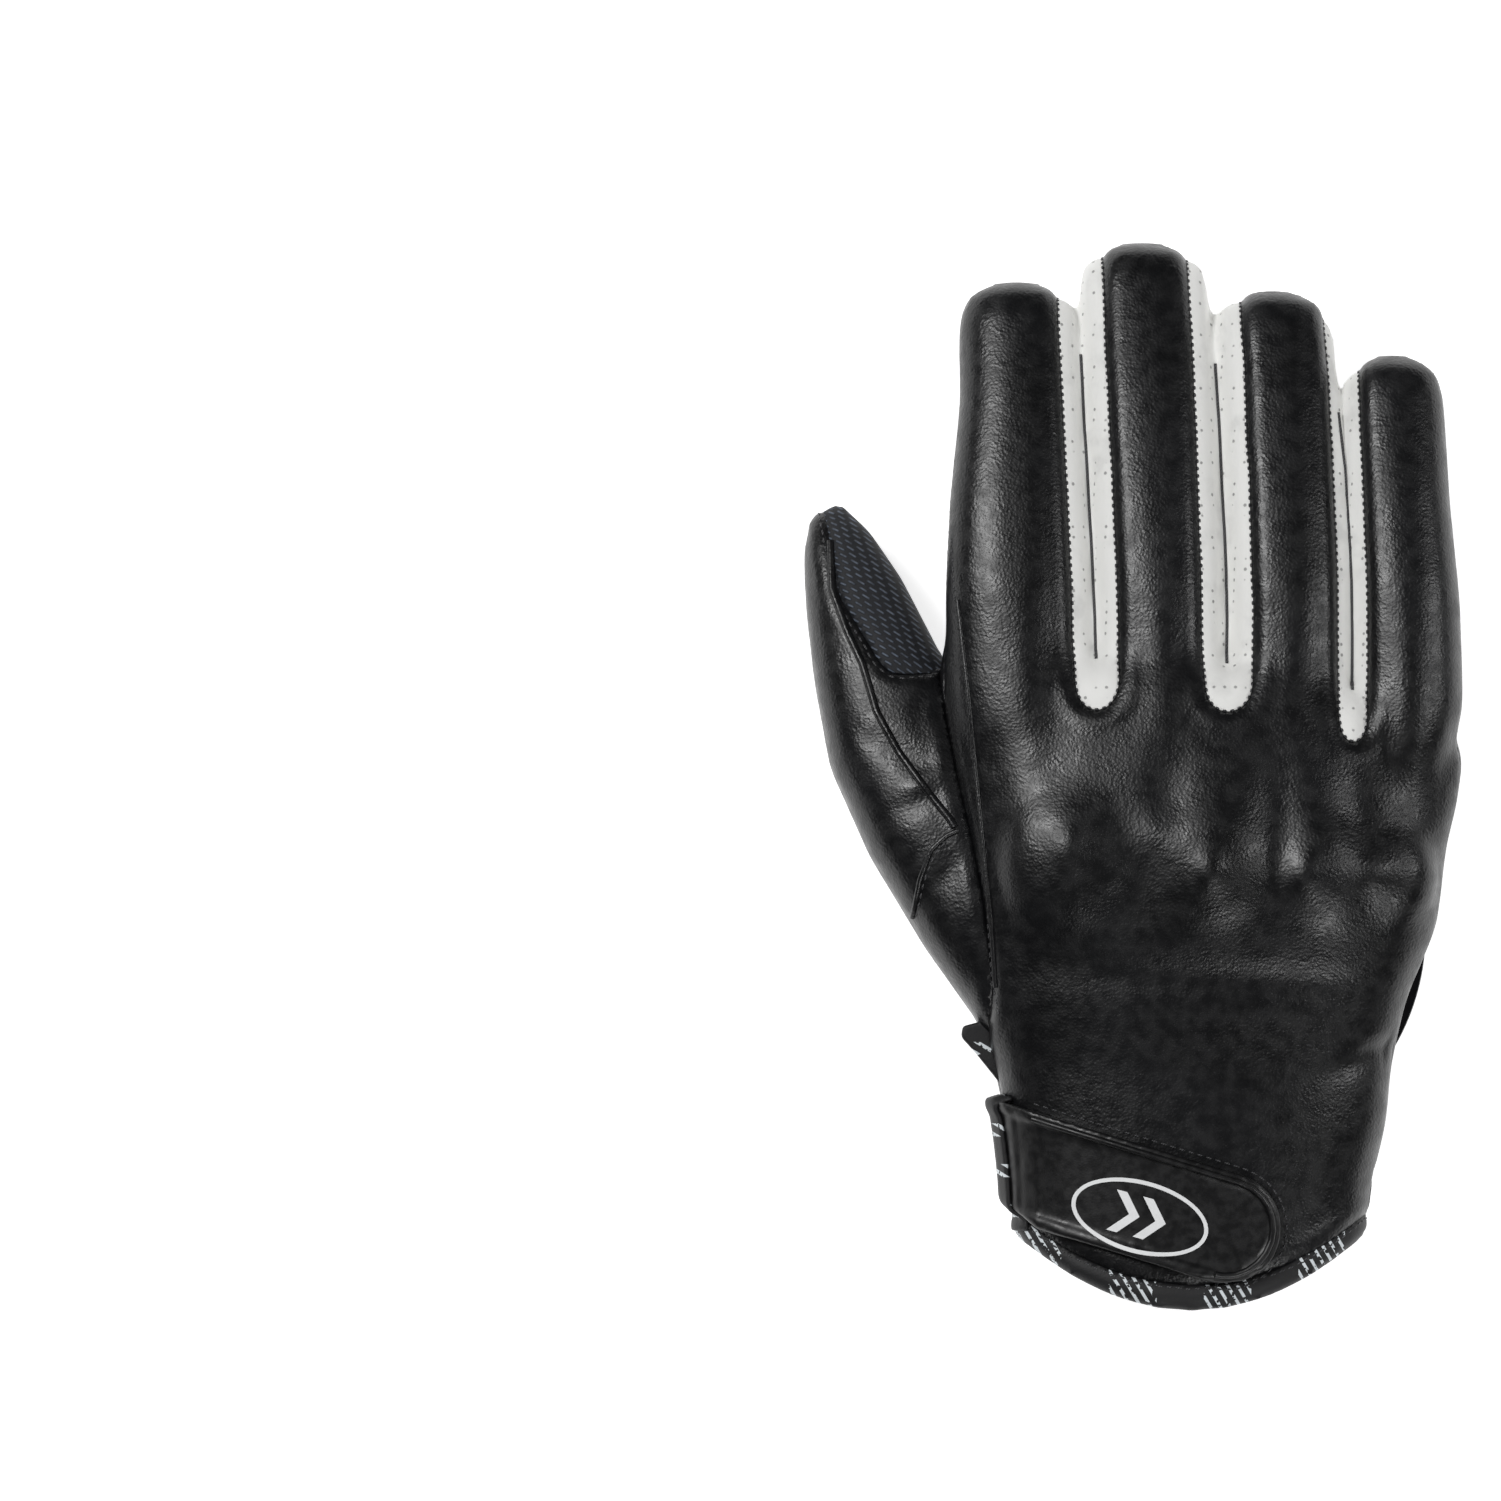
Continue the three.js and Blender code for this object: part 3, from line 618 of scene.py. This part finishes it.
class Material:
    """A material made of nodes on the object's own coordinates, measured in millimetres."""

    def __init__(self, name, color, roughness):
        self.material = bpy.data.materials.new(name)
        self.material.use_nodes = True
        self.tree = self.material.node_tree
        self.shader = self.tree.nodes["Principled BSDF"]
        self.shader.inputs["Base Color"].default_value = (*color, 1)
        self.shader.inputs["Roughness"].default_value = roughness
        coordinates = self.tree.nodes.new("ShaderNodeTexCoord")
        scale = self.tree.nodes.new("ShaderNodeMapping")
        scale.inputs["Scale"].default_value = (1000, 1000, 1000)
        self.link(coordinates.outputs["Object"], scale.inputs["Vector"])
        self.place = scale.outputs["Vector"]

    def link(self, source, target):
        self.tree.links.new(source, target)

    def set(self, **values):
        for name, value in values.items():
            self.shader.inputs[name.replace("_", " ")].default_value = value

    def noise(self, scale, detail=3, roughness=0.5, place=None):
        node = self.tree.nodes.new("ShaderNodeTexNoise")
        node.inputs["Scale"].default_value = scale
        node.inputs["Detail"].default_value = detail
        node.inputs["Roughness"].default_value = roughness
        self.link(place or self.place, node.inputs["Vector"])
        return node.outputs["Fac"]

    def voronoi(self, scale, feature="F1", randomness=1.0):
        node = self.tree.nodes.new("ShaderNodeTexVoronoi")
        node.feature = feature
        node.inputs["Scale"].default_value = scale
        node.inputs["Randomness"].default_value = randomness
        self.link(self.place, node.inputs["Vector"])
        return node.outputs["Distance"]

    def math(self, operation, *values):
        node = self.tree.nodes.new("ShaderNodeMath")
        node.operation = operation
        for socket, value in zip(node.inputs, values):
            if isinstance(value, (int, float)):
                socket.default_value = value
            else:
                self.link(value, socket)
        return node.outputs[0]

    def span(self, value, low, high, to_low, to_high):
        node = self.tree.nodes.new("ShaderNodeMapRange")
        node.interpolation_type = "SMOOTHSTEP"
        for name, number in (("From Min", low), ("From Max", high), ("To Min", to_low), ("To Max", to_high)):
            node.inputs[name].default_value = number
        self.link(value, node.inputs["Value"])
        return node.outputs["Result"]

    def axis(self, turn=(0, 0, 0)):
        """The three coordinates in millimetres, after a turn in radians."""
        turned = self.tree.nodes.new("ShaderNodeMapping")
        turned.inputs["Rotation"].default_value = turn
        self.link(self.place, turned.inputs["Vector"])
        parts = self.tree.nodes.new("ShaderNodeSeparateXYZ")
        self.link(turned.outputs["Vector"], parts.inputs["Vector"])
        return parts.outputs

    def color(self, share, first, second):
        node = self.tree.nodes.new("ShaderNodeMix")
        node.data_type = "RGBA"
        node.inputs[6].default_value = (*first, 1)
        node.inputs[7].default_value = (*second, 1)
        self.link(share, node.inputs[0])
        self.link(node.outputs[2], self.shader.inputs["Base Color"])

    def roughness(self, value):
        self.link(value, self.shader.inputs["Roughness"])

    def bump(self, *layers):
        """Bump layers, each a height, its depth in mm and its strength."""
        before = None
        for height, depth, strength in layers:
            node = self.tree.nodes.new("ShaderNodeBump")
            node.inputs["Distance"].default_value = depth * MM
            node.inputs["Strength"].default_value = strength
            self.link(height, node.inputs["Height"])
            if before is not None:
                self.link(before, node.inputs["Normal"])
            before = node.outputs["Normal"]
        self.link(before, self.shader.inputs["Normal"])


def black_leather():
    made = Material("black_leather", (0.004, 0.004, 0.005), 0.36)
    grain = made.voronoi(1.5)
    wrinkles = made.noise(0.22, 5, 0.6)
    broad = made.noise(0.035, 3)
    made.color(made.span(broad, 0.35, 0.7, 0, 1), (0.0026, 0.0027, 0.0032), (0.006, 0.0062, 0.0072))
    made.roughness(made.span(made.noise(0.3, 4), 0.3, 0.7, 0.29, 0.42))
    made.bump((wrinkles, 0.5, 0.16), (made.noise(1.1, 3), 0.16, 0.45), (grain, 0.12, 0.4))
    made.set(Specular_IOR_Level=0.5)
    return made.material


def white_leather():
    made = Material("white_leather", (0.8, 0.8, 0.78), 0.65)
    holes = made.span(made.voronoi(0.42, randomness=0.0), 0.1, 0.2, 1, 0)
    made.color(made.math("MAXIMUM", made.math("MULTIPLY", holes, 0.75),
                         made.span(made.noise(0.12, 4), 0.5, 0.8, 0, 0.25)),
               (0.86, 0.86, 0.84), (0.2, 0.2, 0.2))
    made.bump((made.noise(0.5, 4), 0.3, 0.3), (made.math("SUBTRACT", 1, holes), 0.3, 0.5))
    return made.material


def woven_pad():
    """A coarse twill: short slanted threads in rows, coloured lighter where they stand up as a painted
    highlight and darker between them as painted shade.
    """
    made = Material("woven_pad", (0.02, 0.024, 0.032), 0.7)
    x, y, _ = made.axis((math.radians(30), math.radians(18), math.radians(34)))
    rows = made.math("SINE", made.math("MULTIPLY", y, 2 * math.pi / THREAD_WIDTH))
    row = made.math("FLOOR", made.math("ADD", made.math("DIVIDE", y, THREAD_WIDTH), 0.25))
    shifted = made.math("ADD", x, made.math("MULTIPLY", row, THREAD_SHIFT))
    threads = made.math("SINE", made.math("MULTIPLY", shifted, 2 * math.pi / THREAD_LENGTH))
    weave_and_sheen = made.math("MULTIPLY", made.span(rows, -0.1, 0.9, 0, 1), made.span(threads, -0.7, 0.3, 0, 1))
    # The thread pattern is the cloth's own, but its colour follows the threads' height: painted highlight on
    # the raised threads, painted shade in the gaps.
    made.color(made.math("MULTIPLY", weave_and_sheen, made.span(made.noise(0.7, 3), 0.25, 0.7, 0.35, 1)),
               (0.006, 0.007, 0.01), (0.12, 0.145, 0.19))
    made.bump((weave_and_sheen, 0.5, 0.9), (made.noise(2.5, 2), 0.1, 0.4))
    return made.material


def elastic():
    made = Material("elastic", (0.012, 0.012, 0.014), 0.85)
    x, y, _ = made.axis()
    ribs = made.math("SINE", made.math("MULTIPLY", y, 2 * math.pi / 1.3))
    cords = made.math("SINE", made.math("MULTIPLY", x, 2 * math.pi / 0.9))
    made.color(made.span(made.math("MULTIPLY", ribs, cords), 0, 1, 0, 1),
               (0.005, 0.005, 0.006), (0.026, 0.029, 0.034))
    made.bump((ribs, 0.35, 0.8), (cords, 0.2, 0.6))
    return made.material


def marked_tape(name, along, across, stroke, group, share):
    """Black tape with slanted white strokes in groups, and worn gaps. Sizes are in mm along the tape."""
    made = Material(name, (0.008, 0.008, 0.009), 0.6)
    parts = made.axis()
    slant = made.math("ADD", parts[along], made.math("MULTIPLY", parts[across], 0.6))
    strokes = made.math("LESS_THAN", made.math("FRACT", made.math("DIVIDE", slant, stroke)), 0.36)
    groups = made.math("LESS_THAN", made.math("FRACT", made.math("DIVIDE", parts[along], group)), share)
    wear = made.math("GREATER_THAN", made.noise(0.8, 2), 0.44)
    made.color(made.math("MULTIPLY", made.math("MULTIPLY", strokes, groups), wear),
               (0.006, 0.006, 0.007), (0.72, 0.77, 0.8))
    made.bump((made.noise(2.0, 3), 0.15, 0.5))
    return made.material


def binding_tape():
    return marked_tape("binding_tape", 0, 1, 2.2, 21.0, 0.5)


def vent_tape():
    return marked_tape("vent_tape", 1, 0, 2.6, 9.0, 0.32)


def loop_pile():
    made = Material("loop_pile", (0.01, 0.01, 0.011), 0.95)
    made.color(made.noise(1.2, 4), (0.004, 0.004, 0.005), (0.03, 0.03, 0.033))
    made.bump((made.noise(1.6, 4), 0.5, 0.9))
    made.set(Sheen_Weight=0.3)
    return made.material


def strap_rubber():
    made = Material("strap_rubber", (0.005, 0.005, 0.006), 0.4)
    made.color(made.noise(0.1, 3), (0.0035, 0.0035, 0.004), (0.007, 0.007, 0.0075))
    made.roughness(made.span(made.noise(0.5, 3), 0.3, 0.7, 0.32, 0.46))
    made.bump((made.noise(2.2, 2), 0.06, 0.4))
    return made.material


def puck_plastic():
    """Turned and polished plastic, with faint rings and a few fine scratches."""
    made = Material("puck_plastic", (0.006, 0.006, 0.007), 0.13)
    x, y, _ = made.axis()
    radius = made.math("SQRT", made.math("ADD", made.math("MULTIPLY", x, x), made.math("MULTIPLY", y, y)))
    rings = made.math("SINE", made.math("MULTIPLY", radius, 2 * math.pi / 0.8))
    scratch = made.noise(0.8, 5, 0.7)
    made.roughness(made.span(scratch, 0.35, 0.75, 0.1, 0.22))
    made.color(made.noise(0.03, 2), (0.004, 0.004, 0.005), (0.009, 0.009, 0.01))
    made.bump((rings, 0.01, 0.12), (scratch, 0.02, 0.15))
    return made.material


def white_print():
    made = Material("white_print", (0.85, 0.86, 0.87), 0.5)
    made.color(made.noise(0.6, 3), (0.78, 0.79, 0.8), (0.9, 0.91, 0.92))
    made.bump((made.noise(1.5, 2), 0.05, 0.4))
    return made.material


def thread():
    made = Material("thread", (0.02, 0.02, 0.022), 0.6)
    twist_and_sheen = made.math("SINE", made.math("MULTIPLY", made.axis((0, 0, 0.7))[0], 2 * math.pi / 0.5))
    # The twist is real relief; its colour, lighter on the ridges, is a painted highlight on the dark thread.
    made.color(made.span(twist_and_sheen, -1, 1, 0, 1), (0.015, 0.015, 0.017), (0.08, 0.08, 0.085))
    made.bump((twist_and_sheen, 0.08, 0.6))
    return made.material


MATERIALS = {
    "black_leather": black_leather(), "white_leather": white_leather(), "woven_pad": woven_pad(),
    "elastic": elastic(), "loop_pile": loop_pile(), "binding_tape": binding_tape(),
    "strap_rubber": strap_rubber(), "puck_plastic": puck_plastic(),
    "white_print": white_print(), "thread": thread(), "vent_tape": vent_tape(),
}


def dressed(thing, slot, *nodes, look=None):
    """Gives a piece its material and body, and hides the CAD nodes that it stands for."""
    thing.data.materials.clear()
    thing.data.materials.append(MATERIALS[look or slot])
    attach(thing, "root")
    if nodes:
        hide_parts(*nodes)
    return thing


SKIN_SLOTS = {
    "back_leather": "black_leather", "palm_leather": "black_leather", "thumb_leather": "black_leather",
    "elastic_band": "elastic", "rim_binding": "binding_tape", "gusset_index_middle": "white_leather",
    "gusset_middle_ring": "white_leather", "gusset_ring_little": "white_leather", "pad_index": "woven_pad",
    "pad_middle": "woven_pad", "pad_ring": "woven_pad", "pad_little": "woven_pad", "pad_thumb": "woven_pad",
}

cad_tree, cad_owners = node_tree()
skin, labels, seams, seam_pairs = build_skin(cad_tree, cad_owners)
skin_places = mesh_places(skin.data)
skin_tree = BVHTree.FromPolygons([Vector(place) for place in mesh_places(skin.data)],
                                 [list(map(int, quad)) for quad in mesh_quads(skin.data)])
for owner, node in enumerate(SKIN_NODES):
    dressed(panel(skin, labels, owner, f"{node}_skin"), SKIN_SLOTS[node], node)
bpy.data.objects.remove(skin)


# The strap, the puck and its patch

def build_strap():
    """The strap keeps its CAD form, with its steps rounded off as moulded rubber."""
    shape = welded_node("strap")
    for vertex in shape.verts:
        vertex.co += vertex.normal * STRAP_SWELL
    mesh = bpy.data.meshes.new("strap_skin")
    shape.to_mesh(mesh)
    thing = remeshed(new_object("strap_skin", mesh), STRAP_VOXEL)
    places = smoothed(mesh_places(thing.data), mesh_edges(thing.data), STRAP_ROUNDS)
    for index, place in enumerate(places):
        cad_place = cad_tree.find_nearest(place)[0]
        skin_place, skin_normal = skin_tree.find_nearest(cad_place)[:2]
        places[index] = Vector(place) + skin_normal * (skin_place - cad_place).dot(skin_normal)
    places = smoothed(places, mesh_edges(thing.data), STRAP_ROUNDS)
    set_places(thing.data, places)
    shade_smooth(thing.data)
    return dressed(thing, "strap_rubber", "strap")


def pick_faces(body, chosen):
    """Enters edit mode with only the chosen faces selected."""
    bpy.ops.object.mode_set(mode="EDIT")
    bpy.ops.mesh.select_mode(type="FACE")
    bpy.ops.mesh.select_all(action="DESELECT")
    bpy.ops.object.mode_set(mode="OBJECT")
    for face in body.data.polygons:
        face.select = chosen(face)
    bpy.ops.object.mode_set(mode="EDIT")


def round_edges(body, width, steps):
    """Bevels every sharp edge of a body and shades the rest smooth."""
    bpy.ops.object.mode_set(mode="EDIT")
    bpy.ops.mesh.select_mode(type="EDGE")
    bpy.ops.mesh.select_all(action="DESELECT")
    bpy.ops.mesh.edges_select_sharp(sharpness=SHARP_ANGLE)
    bpy.ops.mesh.bevel(offset=width, segments=steps)
    bpy.ops.object.mode_set(mode="OBJECT")
    bpy.ops.object.shade_smooth_by_angle(angle=SHARP_ANGLE)


def disc(name, radius, low, high):
    """A plain disc between two heights, to be worked further."""
    bpy.ops.object.select_all(action="DESELECT")
    bpy.ops.mesh.primitive_cylinder_add(vertices=TURNED_SIDES, radius=radius, depth=high - low,
                                        location=(0, 0, (low + high) / 2))
    body = bpy.context.object
    body.name = body.data.name = name
    bpy.ops.object.transform_apply(location=True, rotation=True, scale=True)
    return body


def build_puck():
    """A disc whose sliding face is drawn out and narrowed, with its edges rounded."""
    low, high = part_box("puck")
    radius = (high[0] - low[0]) / 2
    puck = disc("puck_turned", radius, PUCK_BEVEL, high[2])
    pick_faces(puck, lambda face: face.normal.z < DOWNWARD)
    bpy.ops.mesh.extrude_region_move(TRANSFORM_OT_translate={"value": (0, 0, low[2] - PUCK_BEVEL)})
    share = PUCK_FACE / radius
    bpy.ops.transform.resize(value=(share, share, 1), center_override=(0, 0, 0))
    round_edges(puck, PUCK_EDGE, PUCK_EDGE_STEPS)
    return dressed(puck, "puck_plastic", "puck")


def build_patch():
    low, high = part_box("loop_patch")
    patch = disc("loop_patch_disc", (high[0] - low[0]) / 2, low[2], PATCH_TOP)
    round_edges(patch, PATCH_EDGE, PATCH_EDGE_STEPS)
    return dressed(patch, "loop_pile", "loop_patch")


strap = build_strap()
build_puck()
build_patch()


# Stitches, welts, tape and the printed mark

def stitch_model():
    """One stitch of thread: a small rounded grain, one unit in each direction."""
    bpy.ops.object.select_all(action="DESELECT")
    bpy.ops.mesh.primitive_uv_sphere_add(segments=6, ring_count=4, radius=1)
    model = bpy.context.object
    places = mesh_places(model.data)[:, [2, 0, 1]]
    faces = [tuple(face.vertices) for face in model.data.polygons]
    bpy.data.objects.remove(model)
    return places, faces


def walked(corners, pitch):
    """Places an even pitch apart along a line through corners."""
    reach = np.concatenate([[0], np.cumsum(np.linalg.norm(np.diff(corners, axis=0), axis=1))])
    steps = np.arange(0, reach[-1], pitch)
    return np.stack([np.interp(steps, reach, corners[:, axis]) for axis in range(corners.shape[1])], axis=1)


def laid(corners, side, pitch, tree):
    """Spots along a flat line laid on a surface from above or below: place, direction and normal."""
    spots = []
    for x, y in walked(np.array(corners), pitch):
        hit, normal = tree.ray_cast(Vector((x, y, side * RAY_START)), Vector((0, 0, -side)))[:2]
        if hit:
            spots.append((hit, normal))
    rows = []
    for index, (place, normal) in enumerate(spots):
        before, after = spots[max(index - 1, 0)][0], spots[min(index + 1, len(spots) - 1)][0]
        rows.append((place, (after - before).normalized(), normal))
    return rows


def photo_line(points, side):
    return [(back_place if side == BACK else palm_place)(*point) for point in points]


def chains(edges):
    """The edges of a seam as unbroken rows of vertices."""
    joined = {}
    for a, b in edges.tolist():
        joined.setdefault(a, set()).add(b)
        joined.setdefault(b, set()).add(a)
    rows = []
    while joined:
        row = [min(joined, key=lambda vertex: (len(joined[vertex]) != 1, vertex))]
        while joined.get(row[-1]):
            following = min(joined[row[-1]])
            joined[row[-1]].discard(following)
            joined[following].discard(row[-1])
            row.append(following)
        joined = {vertex: others for vertex, others in joined.items() if others}
        rows.append(row)
    return rows


def seam_spots(inside, outside, pitch, shift):
    """Spots along the seam of two panels, shifted into the first one."""
    first, second = SKIN_NODES.index(inside), SKIN_NODES.index(outside)
    mine = (np.sort(seam_pairs, axis=1) == sorted((first, second))).all(axis=1)
    spots = []
    for row in chains(seams[mine]):
        if len(row) < SHORTEST_SEAM:
            continue
        line = walked(skin_places[row], pitch)
        along = np.gradient(line, axis=0)
        for place, direction in zip(line, along):
            direction = Vector(direction).normalized()
            place, normal = skin_tree.find_nearest(Vector(place))[:2]
            across = normal.cross(direction)
            face = skin_tree.find_nearest(place + across * MM)[2]
            way = 1 if labels[face] == first else -1
            place, normal = skin_tree.find_nearest(place + across * shift * way)[:2]
            spots.append((place, direction, normal))
    return spots


def sewn(name, spots, slot, length, width, look="thread"):
    """Stitches at a run of spots, as one piece."""
    grain, grain_faces = STITCH
    places, faces = [], []
    for place, direction, normal in spots:
        across = normal.cross(direction)
        offset = len(places)
        for along, side, up in grain:
            places.append(place + direction * (along * length / 2) + across * (side * width / 2)
                          + normal * (up * width * STITCH_HEIGHT))
        faces.extend(tuple(offset + corner for corner in face) for face in grain_faces)
    thing = new_object(name, mesh_from(name, places, faces))
    shade_smooth(thing.data)
    return dressed(thing, slot, look=look)


def corded(name, spots, slot, radius, lift, look=None):
    """A round cord that lies along a run of spots, raised off the surface by a share of its radius."""
    line = bpy.data.curves.new(name, "CURVE")
    line.dimensions = "3D"
    spline = line.splines.new("POLY")
    spline.points.add(len(spots) - 1)
    for point, (place, _, normal) in zip(spline.points, spots):
        point.co = (*(place + normal * radius * lift), 1)
    line.bevel_depth = radius
    line.bevel_resolution = 3
    line.use_fill_caps = True
    curve = bpy.data.objects.new(f"{name}_line", line)
    bpy.context.scene.collection.objects.link(curve)
    mesh = bpy.data.meshes.new_from_object(curve.evaluated_get(bpy.context.evaluated_depsgraph_get()))
    bpy.data.objects.remove(curve)
    shade_smooth(mesh)
    return dressed(new_object(name, mesh), slot, look=look)


def strap_line(offset):
    """The strap's upper edge and round end, moved outwards by an offset in mm."""
    turn = math.radians(STRAP_TURN)
    along, up = np.array((math.cos(turn), math.sin(turn))), np.array((-math.sin(turn), math.cos(turn)))
    end = np.array(STRAP_FOOT) + along * (STRAP_REACH - STRAP_HALF)
    reach = STRAP_HALF + offset
    line = [np.array(STRAP_FOOT) + up * reach, end + up * reach]
    for step in range(1, STRAP_END_STEPS + 1):
        angle = math.pi / 2 - math.pi * step / STRAP_END_STEPS
        line.append(end + (along * math.cos(angle) + up * math.sin(angle)) * reach)
    return [tuple(point * MM) for point in line]


def build_strap_mark():
    """A plain ring with two chevrons, as thin raised print."""
    turn = math.radians(MARK_TURN)
    bands = []
    angles = np.linspace(0, 2 * math.pi, MARK_STEPS + 1)
    ring = [np.stack([(MARK_LENGTH + edge) * np.cos(angles), (MARK_WIDTH + edge) * np.sin(angles)], axis=1)
            for edge in (-MARK_LINE / 2, MARK_LINE / 2)]
    bands.append(ring)
    run = np.linspace(-1, 1, CHEVRON_STEPS)
    for start in CHEVRON_STARTS:
        chevron = np.stack([start + CHEVRON_REACH * (1 - np.abs(run)), CHEVRON_HALF * run], axis=1)
        bands.append([chevron, chevron + (CHEVRON_WIDTH, 0)])
    places, faces = [], []
    for band in bands:
        rows = np.stack(band, axis=1).reshape(-1, 2)
        turned = rows @ np.array(((math.cos(turn), math.sin(turn)), (-math.sin(turn), math.cos(turn))))
        offset = len(places)
        for x, y in (turned + MARK_PLACE) * MM:
            hit, normal = strap_tree.ray_cast(Vector((x, y, RAY_START)), Vector((0, 0, -1)))[:2]
            places.append(hit + normal * MARK_HEIGHT)
        faces.extend((offset + row, offset + row + 1, offset + row + 3, offset + row + 2)
                     for row in range(0, len(rows) - 2, 2))
    thing = new_object("strap_mark", mesh_from("strap_mark", places, faces))
    modifier = thing.modifiers.new("thickness", "SOLIDIFY")
    modifier.thickness = 2 * MARK_HEIGHT
    modifier.offset = 0
    baked(thing)
    return dressed(thing, "binding_tape", look="white_print")


def cuff_side(y, up):
    """The outermost place of the cuff's thumb side, on the strap or on the leather."""
    start = Vector((-LEFT_START, y * MM, SEAM_LEVEL + up * MM))
    hits = [tree.ray_cast(start, Vector((1, 0, 0)))[:2] for tree in (strap_tree, skin_tree)]
    return min((hit for hit in hits if hit[0]), key=lambda hit: hit[0].x)


def build_vent_tape():
    """Folded tape along the cuff's open side, over the end of the strap."""
    rows = [[cuff_side(y, up) for up in VENT_TAPE_UPS] for y in np.linspace(*VENT_TAPE_RUN)]
    width = len(VENT_TAPE_UPS)
    places = [hit + normal * TAPE_PROUD for row in rows for hit, normal in row]
    faces = [(a, a + 1, a + width + 1, a + width) for row in range(len(rows) - 1)
             for a in range(row * width, row * width + width - 1)]
    thing = new_object("vent_tape", mesh_from("vent_tape", places, faces))
    modifier = thing.modifiers.new("thickness", "SOLIDIFY")
    modifier.thickness = TAPE_THICKNESS
    modifier.offset = 0
    baked(thing)
    return dressed(softened(thing), "binding_tape", look="vent_tape")


def build_cuff_tab():
    """The bound corner that stands out of the cuff below the thumb."""
    places = [(x * MM, y * MM, SEAM_LEVEL + up) for up in TAB_UPS for x, y in TAB_OUTLINE]
    count = len(TAB_OUTLINE)
    faces = [tuple(range(count))[::-1], tuple(range(count, 2 * count))]
    faces += [(k, (k + 1) % count, (k + 1) % count + count, k + count) for k in range(count)]
    thing = new_object("cuff_tab", mesh_from("cuff_tab", places, faces))
    return dressed(softened(thing), "binding_tape", look="vent_tape")


STITCH = stitch_model()
strap_tree = BVHTree.FromPolygons([Vector(place) for place in mesh_places(strap.data)],
                                  [list(map(int, quad)) for quad in mesh_quads(strap.data)])
for name, side, points in PHOTO_SEAMS:
    spots = laid(photo_line(points, side), side, STITCH_PITCH * MM, skin_tree)
    sewn(f"stitches_{name}", spots, "black_leather", STITCH_LENGTH * MM, STITCH_WIDTH * MM)
for name, side, radius, points in WELTS:
    spots = laid(photo_line(points, side), side, WELT_STEP * MM, skin_tree)
    corded(f"welt_{name}", spots, "black_leather", radius * MM, WELT_LIFT)
# Dark cords in the thread's colour laid in the gusset slits: painted shadow where the slit lies in shade
for name, points in GUSSET_SLIT_SHADOWS:
    spots = laid(np.array(points) * MM, BACK, SLIT_SHADOW_STEP * MM, skin_tree)
    corded(f"fold_{name}", spots, "white_leather", SLIT_SHADOW_RADIUS, SLIT_SHADOW_LIFT, look="thread")
for inside, outside, pitch, shift, length, width in SEWN_SEAMS:
    sewn(f"stitches_{inside}_{outside}", seam_spots(inside, outside, pitch * MM, shift * MM),
         SKIN_SLOTS[inside], length * MM, width * MM)
spots = laid(strap_line(STRAP_STITCH_OFFSET), BACK, STITCH_PITCH * MM, skin_tree)
sewn("stitches_strap", spots, "black_leather", STITCH_LENGTH * MM, STITCH_WIDTH * MM)
spots = laid(strap_line(PIPING_OFFSET), BACK, PIPING_STEP * MM, strap_tree)
corded("strap_piping", spots, "strap_rubber", PIPING_RADIUS * MM, PIPING_LIFT)
build_strap_mark()
build_vent_tape()
build_cuff_tab()


# Camera, light and floor

def build_camera():
    lens = bpy.data.cameras.new("camera")
    lens.sensor_width = SENSOR
    lens.lens = SENSOR * (CAMERA_HEIGHT - GLOVE_HEIGHT) / (PHOTO_SIDE * MM_PER_PIXEL * MM)
    lens.clip_end = 20
    camera = bpy.data.objects.new("camera", lens)
    bpy.context.scene.collection.objects.link(camera)
    middle = (PHOTO_SIDE / 2, PHOTO_SIDE / 2)
    camera.location = (*back_place(*middle), CAMERA_HEIGHT)
    bpy.context.scene.camera = camera


# Soft lights: name, place, target, size and power
LIGHTS = [
    ("window", (-0.62, 0.5, 0.95), (-0.03, 0.05, 0.03), (0.3, 0.6), 9),
    ("front", (0.35, -0.75, 0.9), (0, 0, 0.03), (0.5, 0.25), 4),
    ("right", (0.85, 0.25, 0.8), (0.03, 0.05, 0.03), (0.2, 0.6), 3),
]
FLOOR_GLOW = 0.8
WORLD_GLOW = 0.03


def area_light(name, place, target, size, power):
    light = bpy.data.lights.new(name, "AREA")
    light.shape = "RECTANGLE"
    light.size, light.size_y = size
    light.energy = power
    thing = bpy.data.objects.new(name, light)
    bpy.context.scene.collection.objects.link(thing)
    thing.location = place
    thing.rotation_euler = (Vector(target) - Vector(place)).to_track_quat("-Z", "Y").to_euler()


def build_stage():
    corners = [(x, y, FLOOR_LEVEL) for x, y in FLOOR_CORNERS]
    floor = new_object("floor", mesh_from("floor", corners, [(0, 1, 2, 3)]))
    made = Material("floor", (0.9, 0.9, 0.9), 0.9)
    made.set(Emission_Color=(1, 1, 1, 1), Emission_Strength=FLOOR_GLOW)
    floor.data.materials.append(made.material)
    world = bpy.data.worlds.new("studio")
    bpy.context.scene.world = world
    world.use_nodes = True
    world.node_tree.nodes["Background"].inputs["Color"].default_value = (1, 1, 1, 1)
    world.node_tree.nodes["Background"].inputs["Strength"].default_value = WORLD_GLOW
    for row in LIGHTS:
        area_light(*row)


build_camera()
build_stage()
bpy.context.scene.view_settings.view_transform = "Standard"
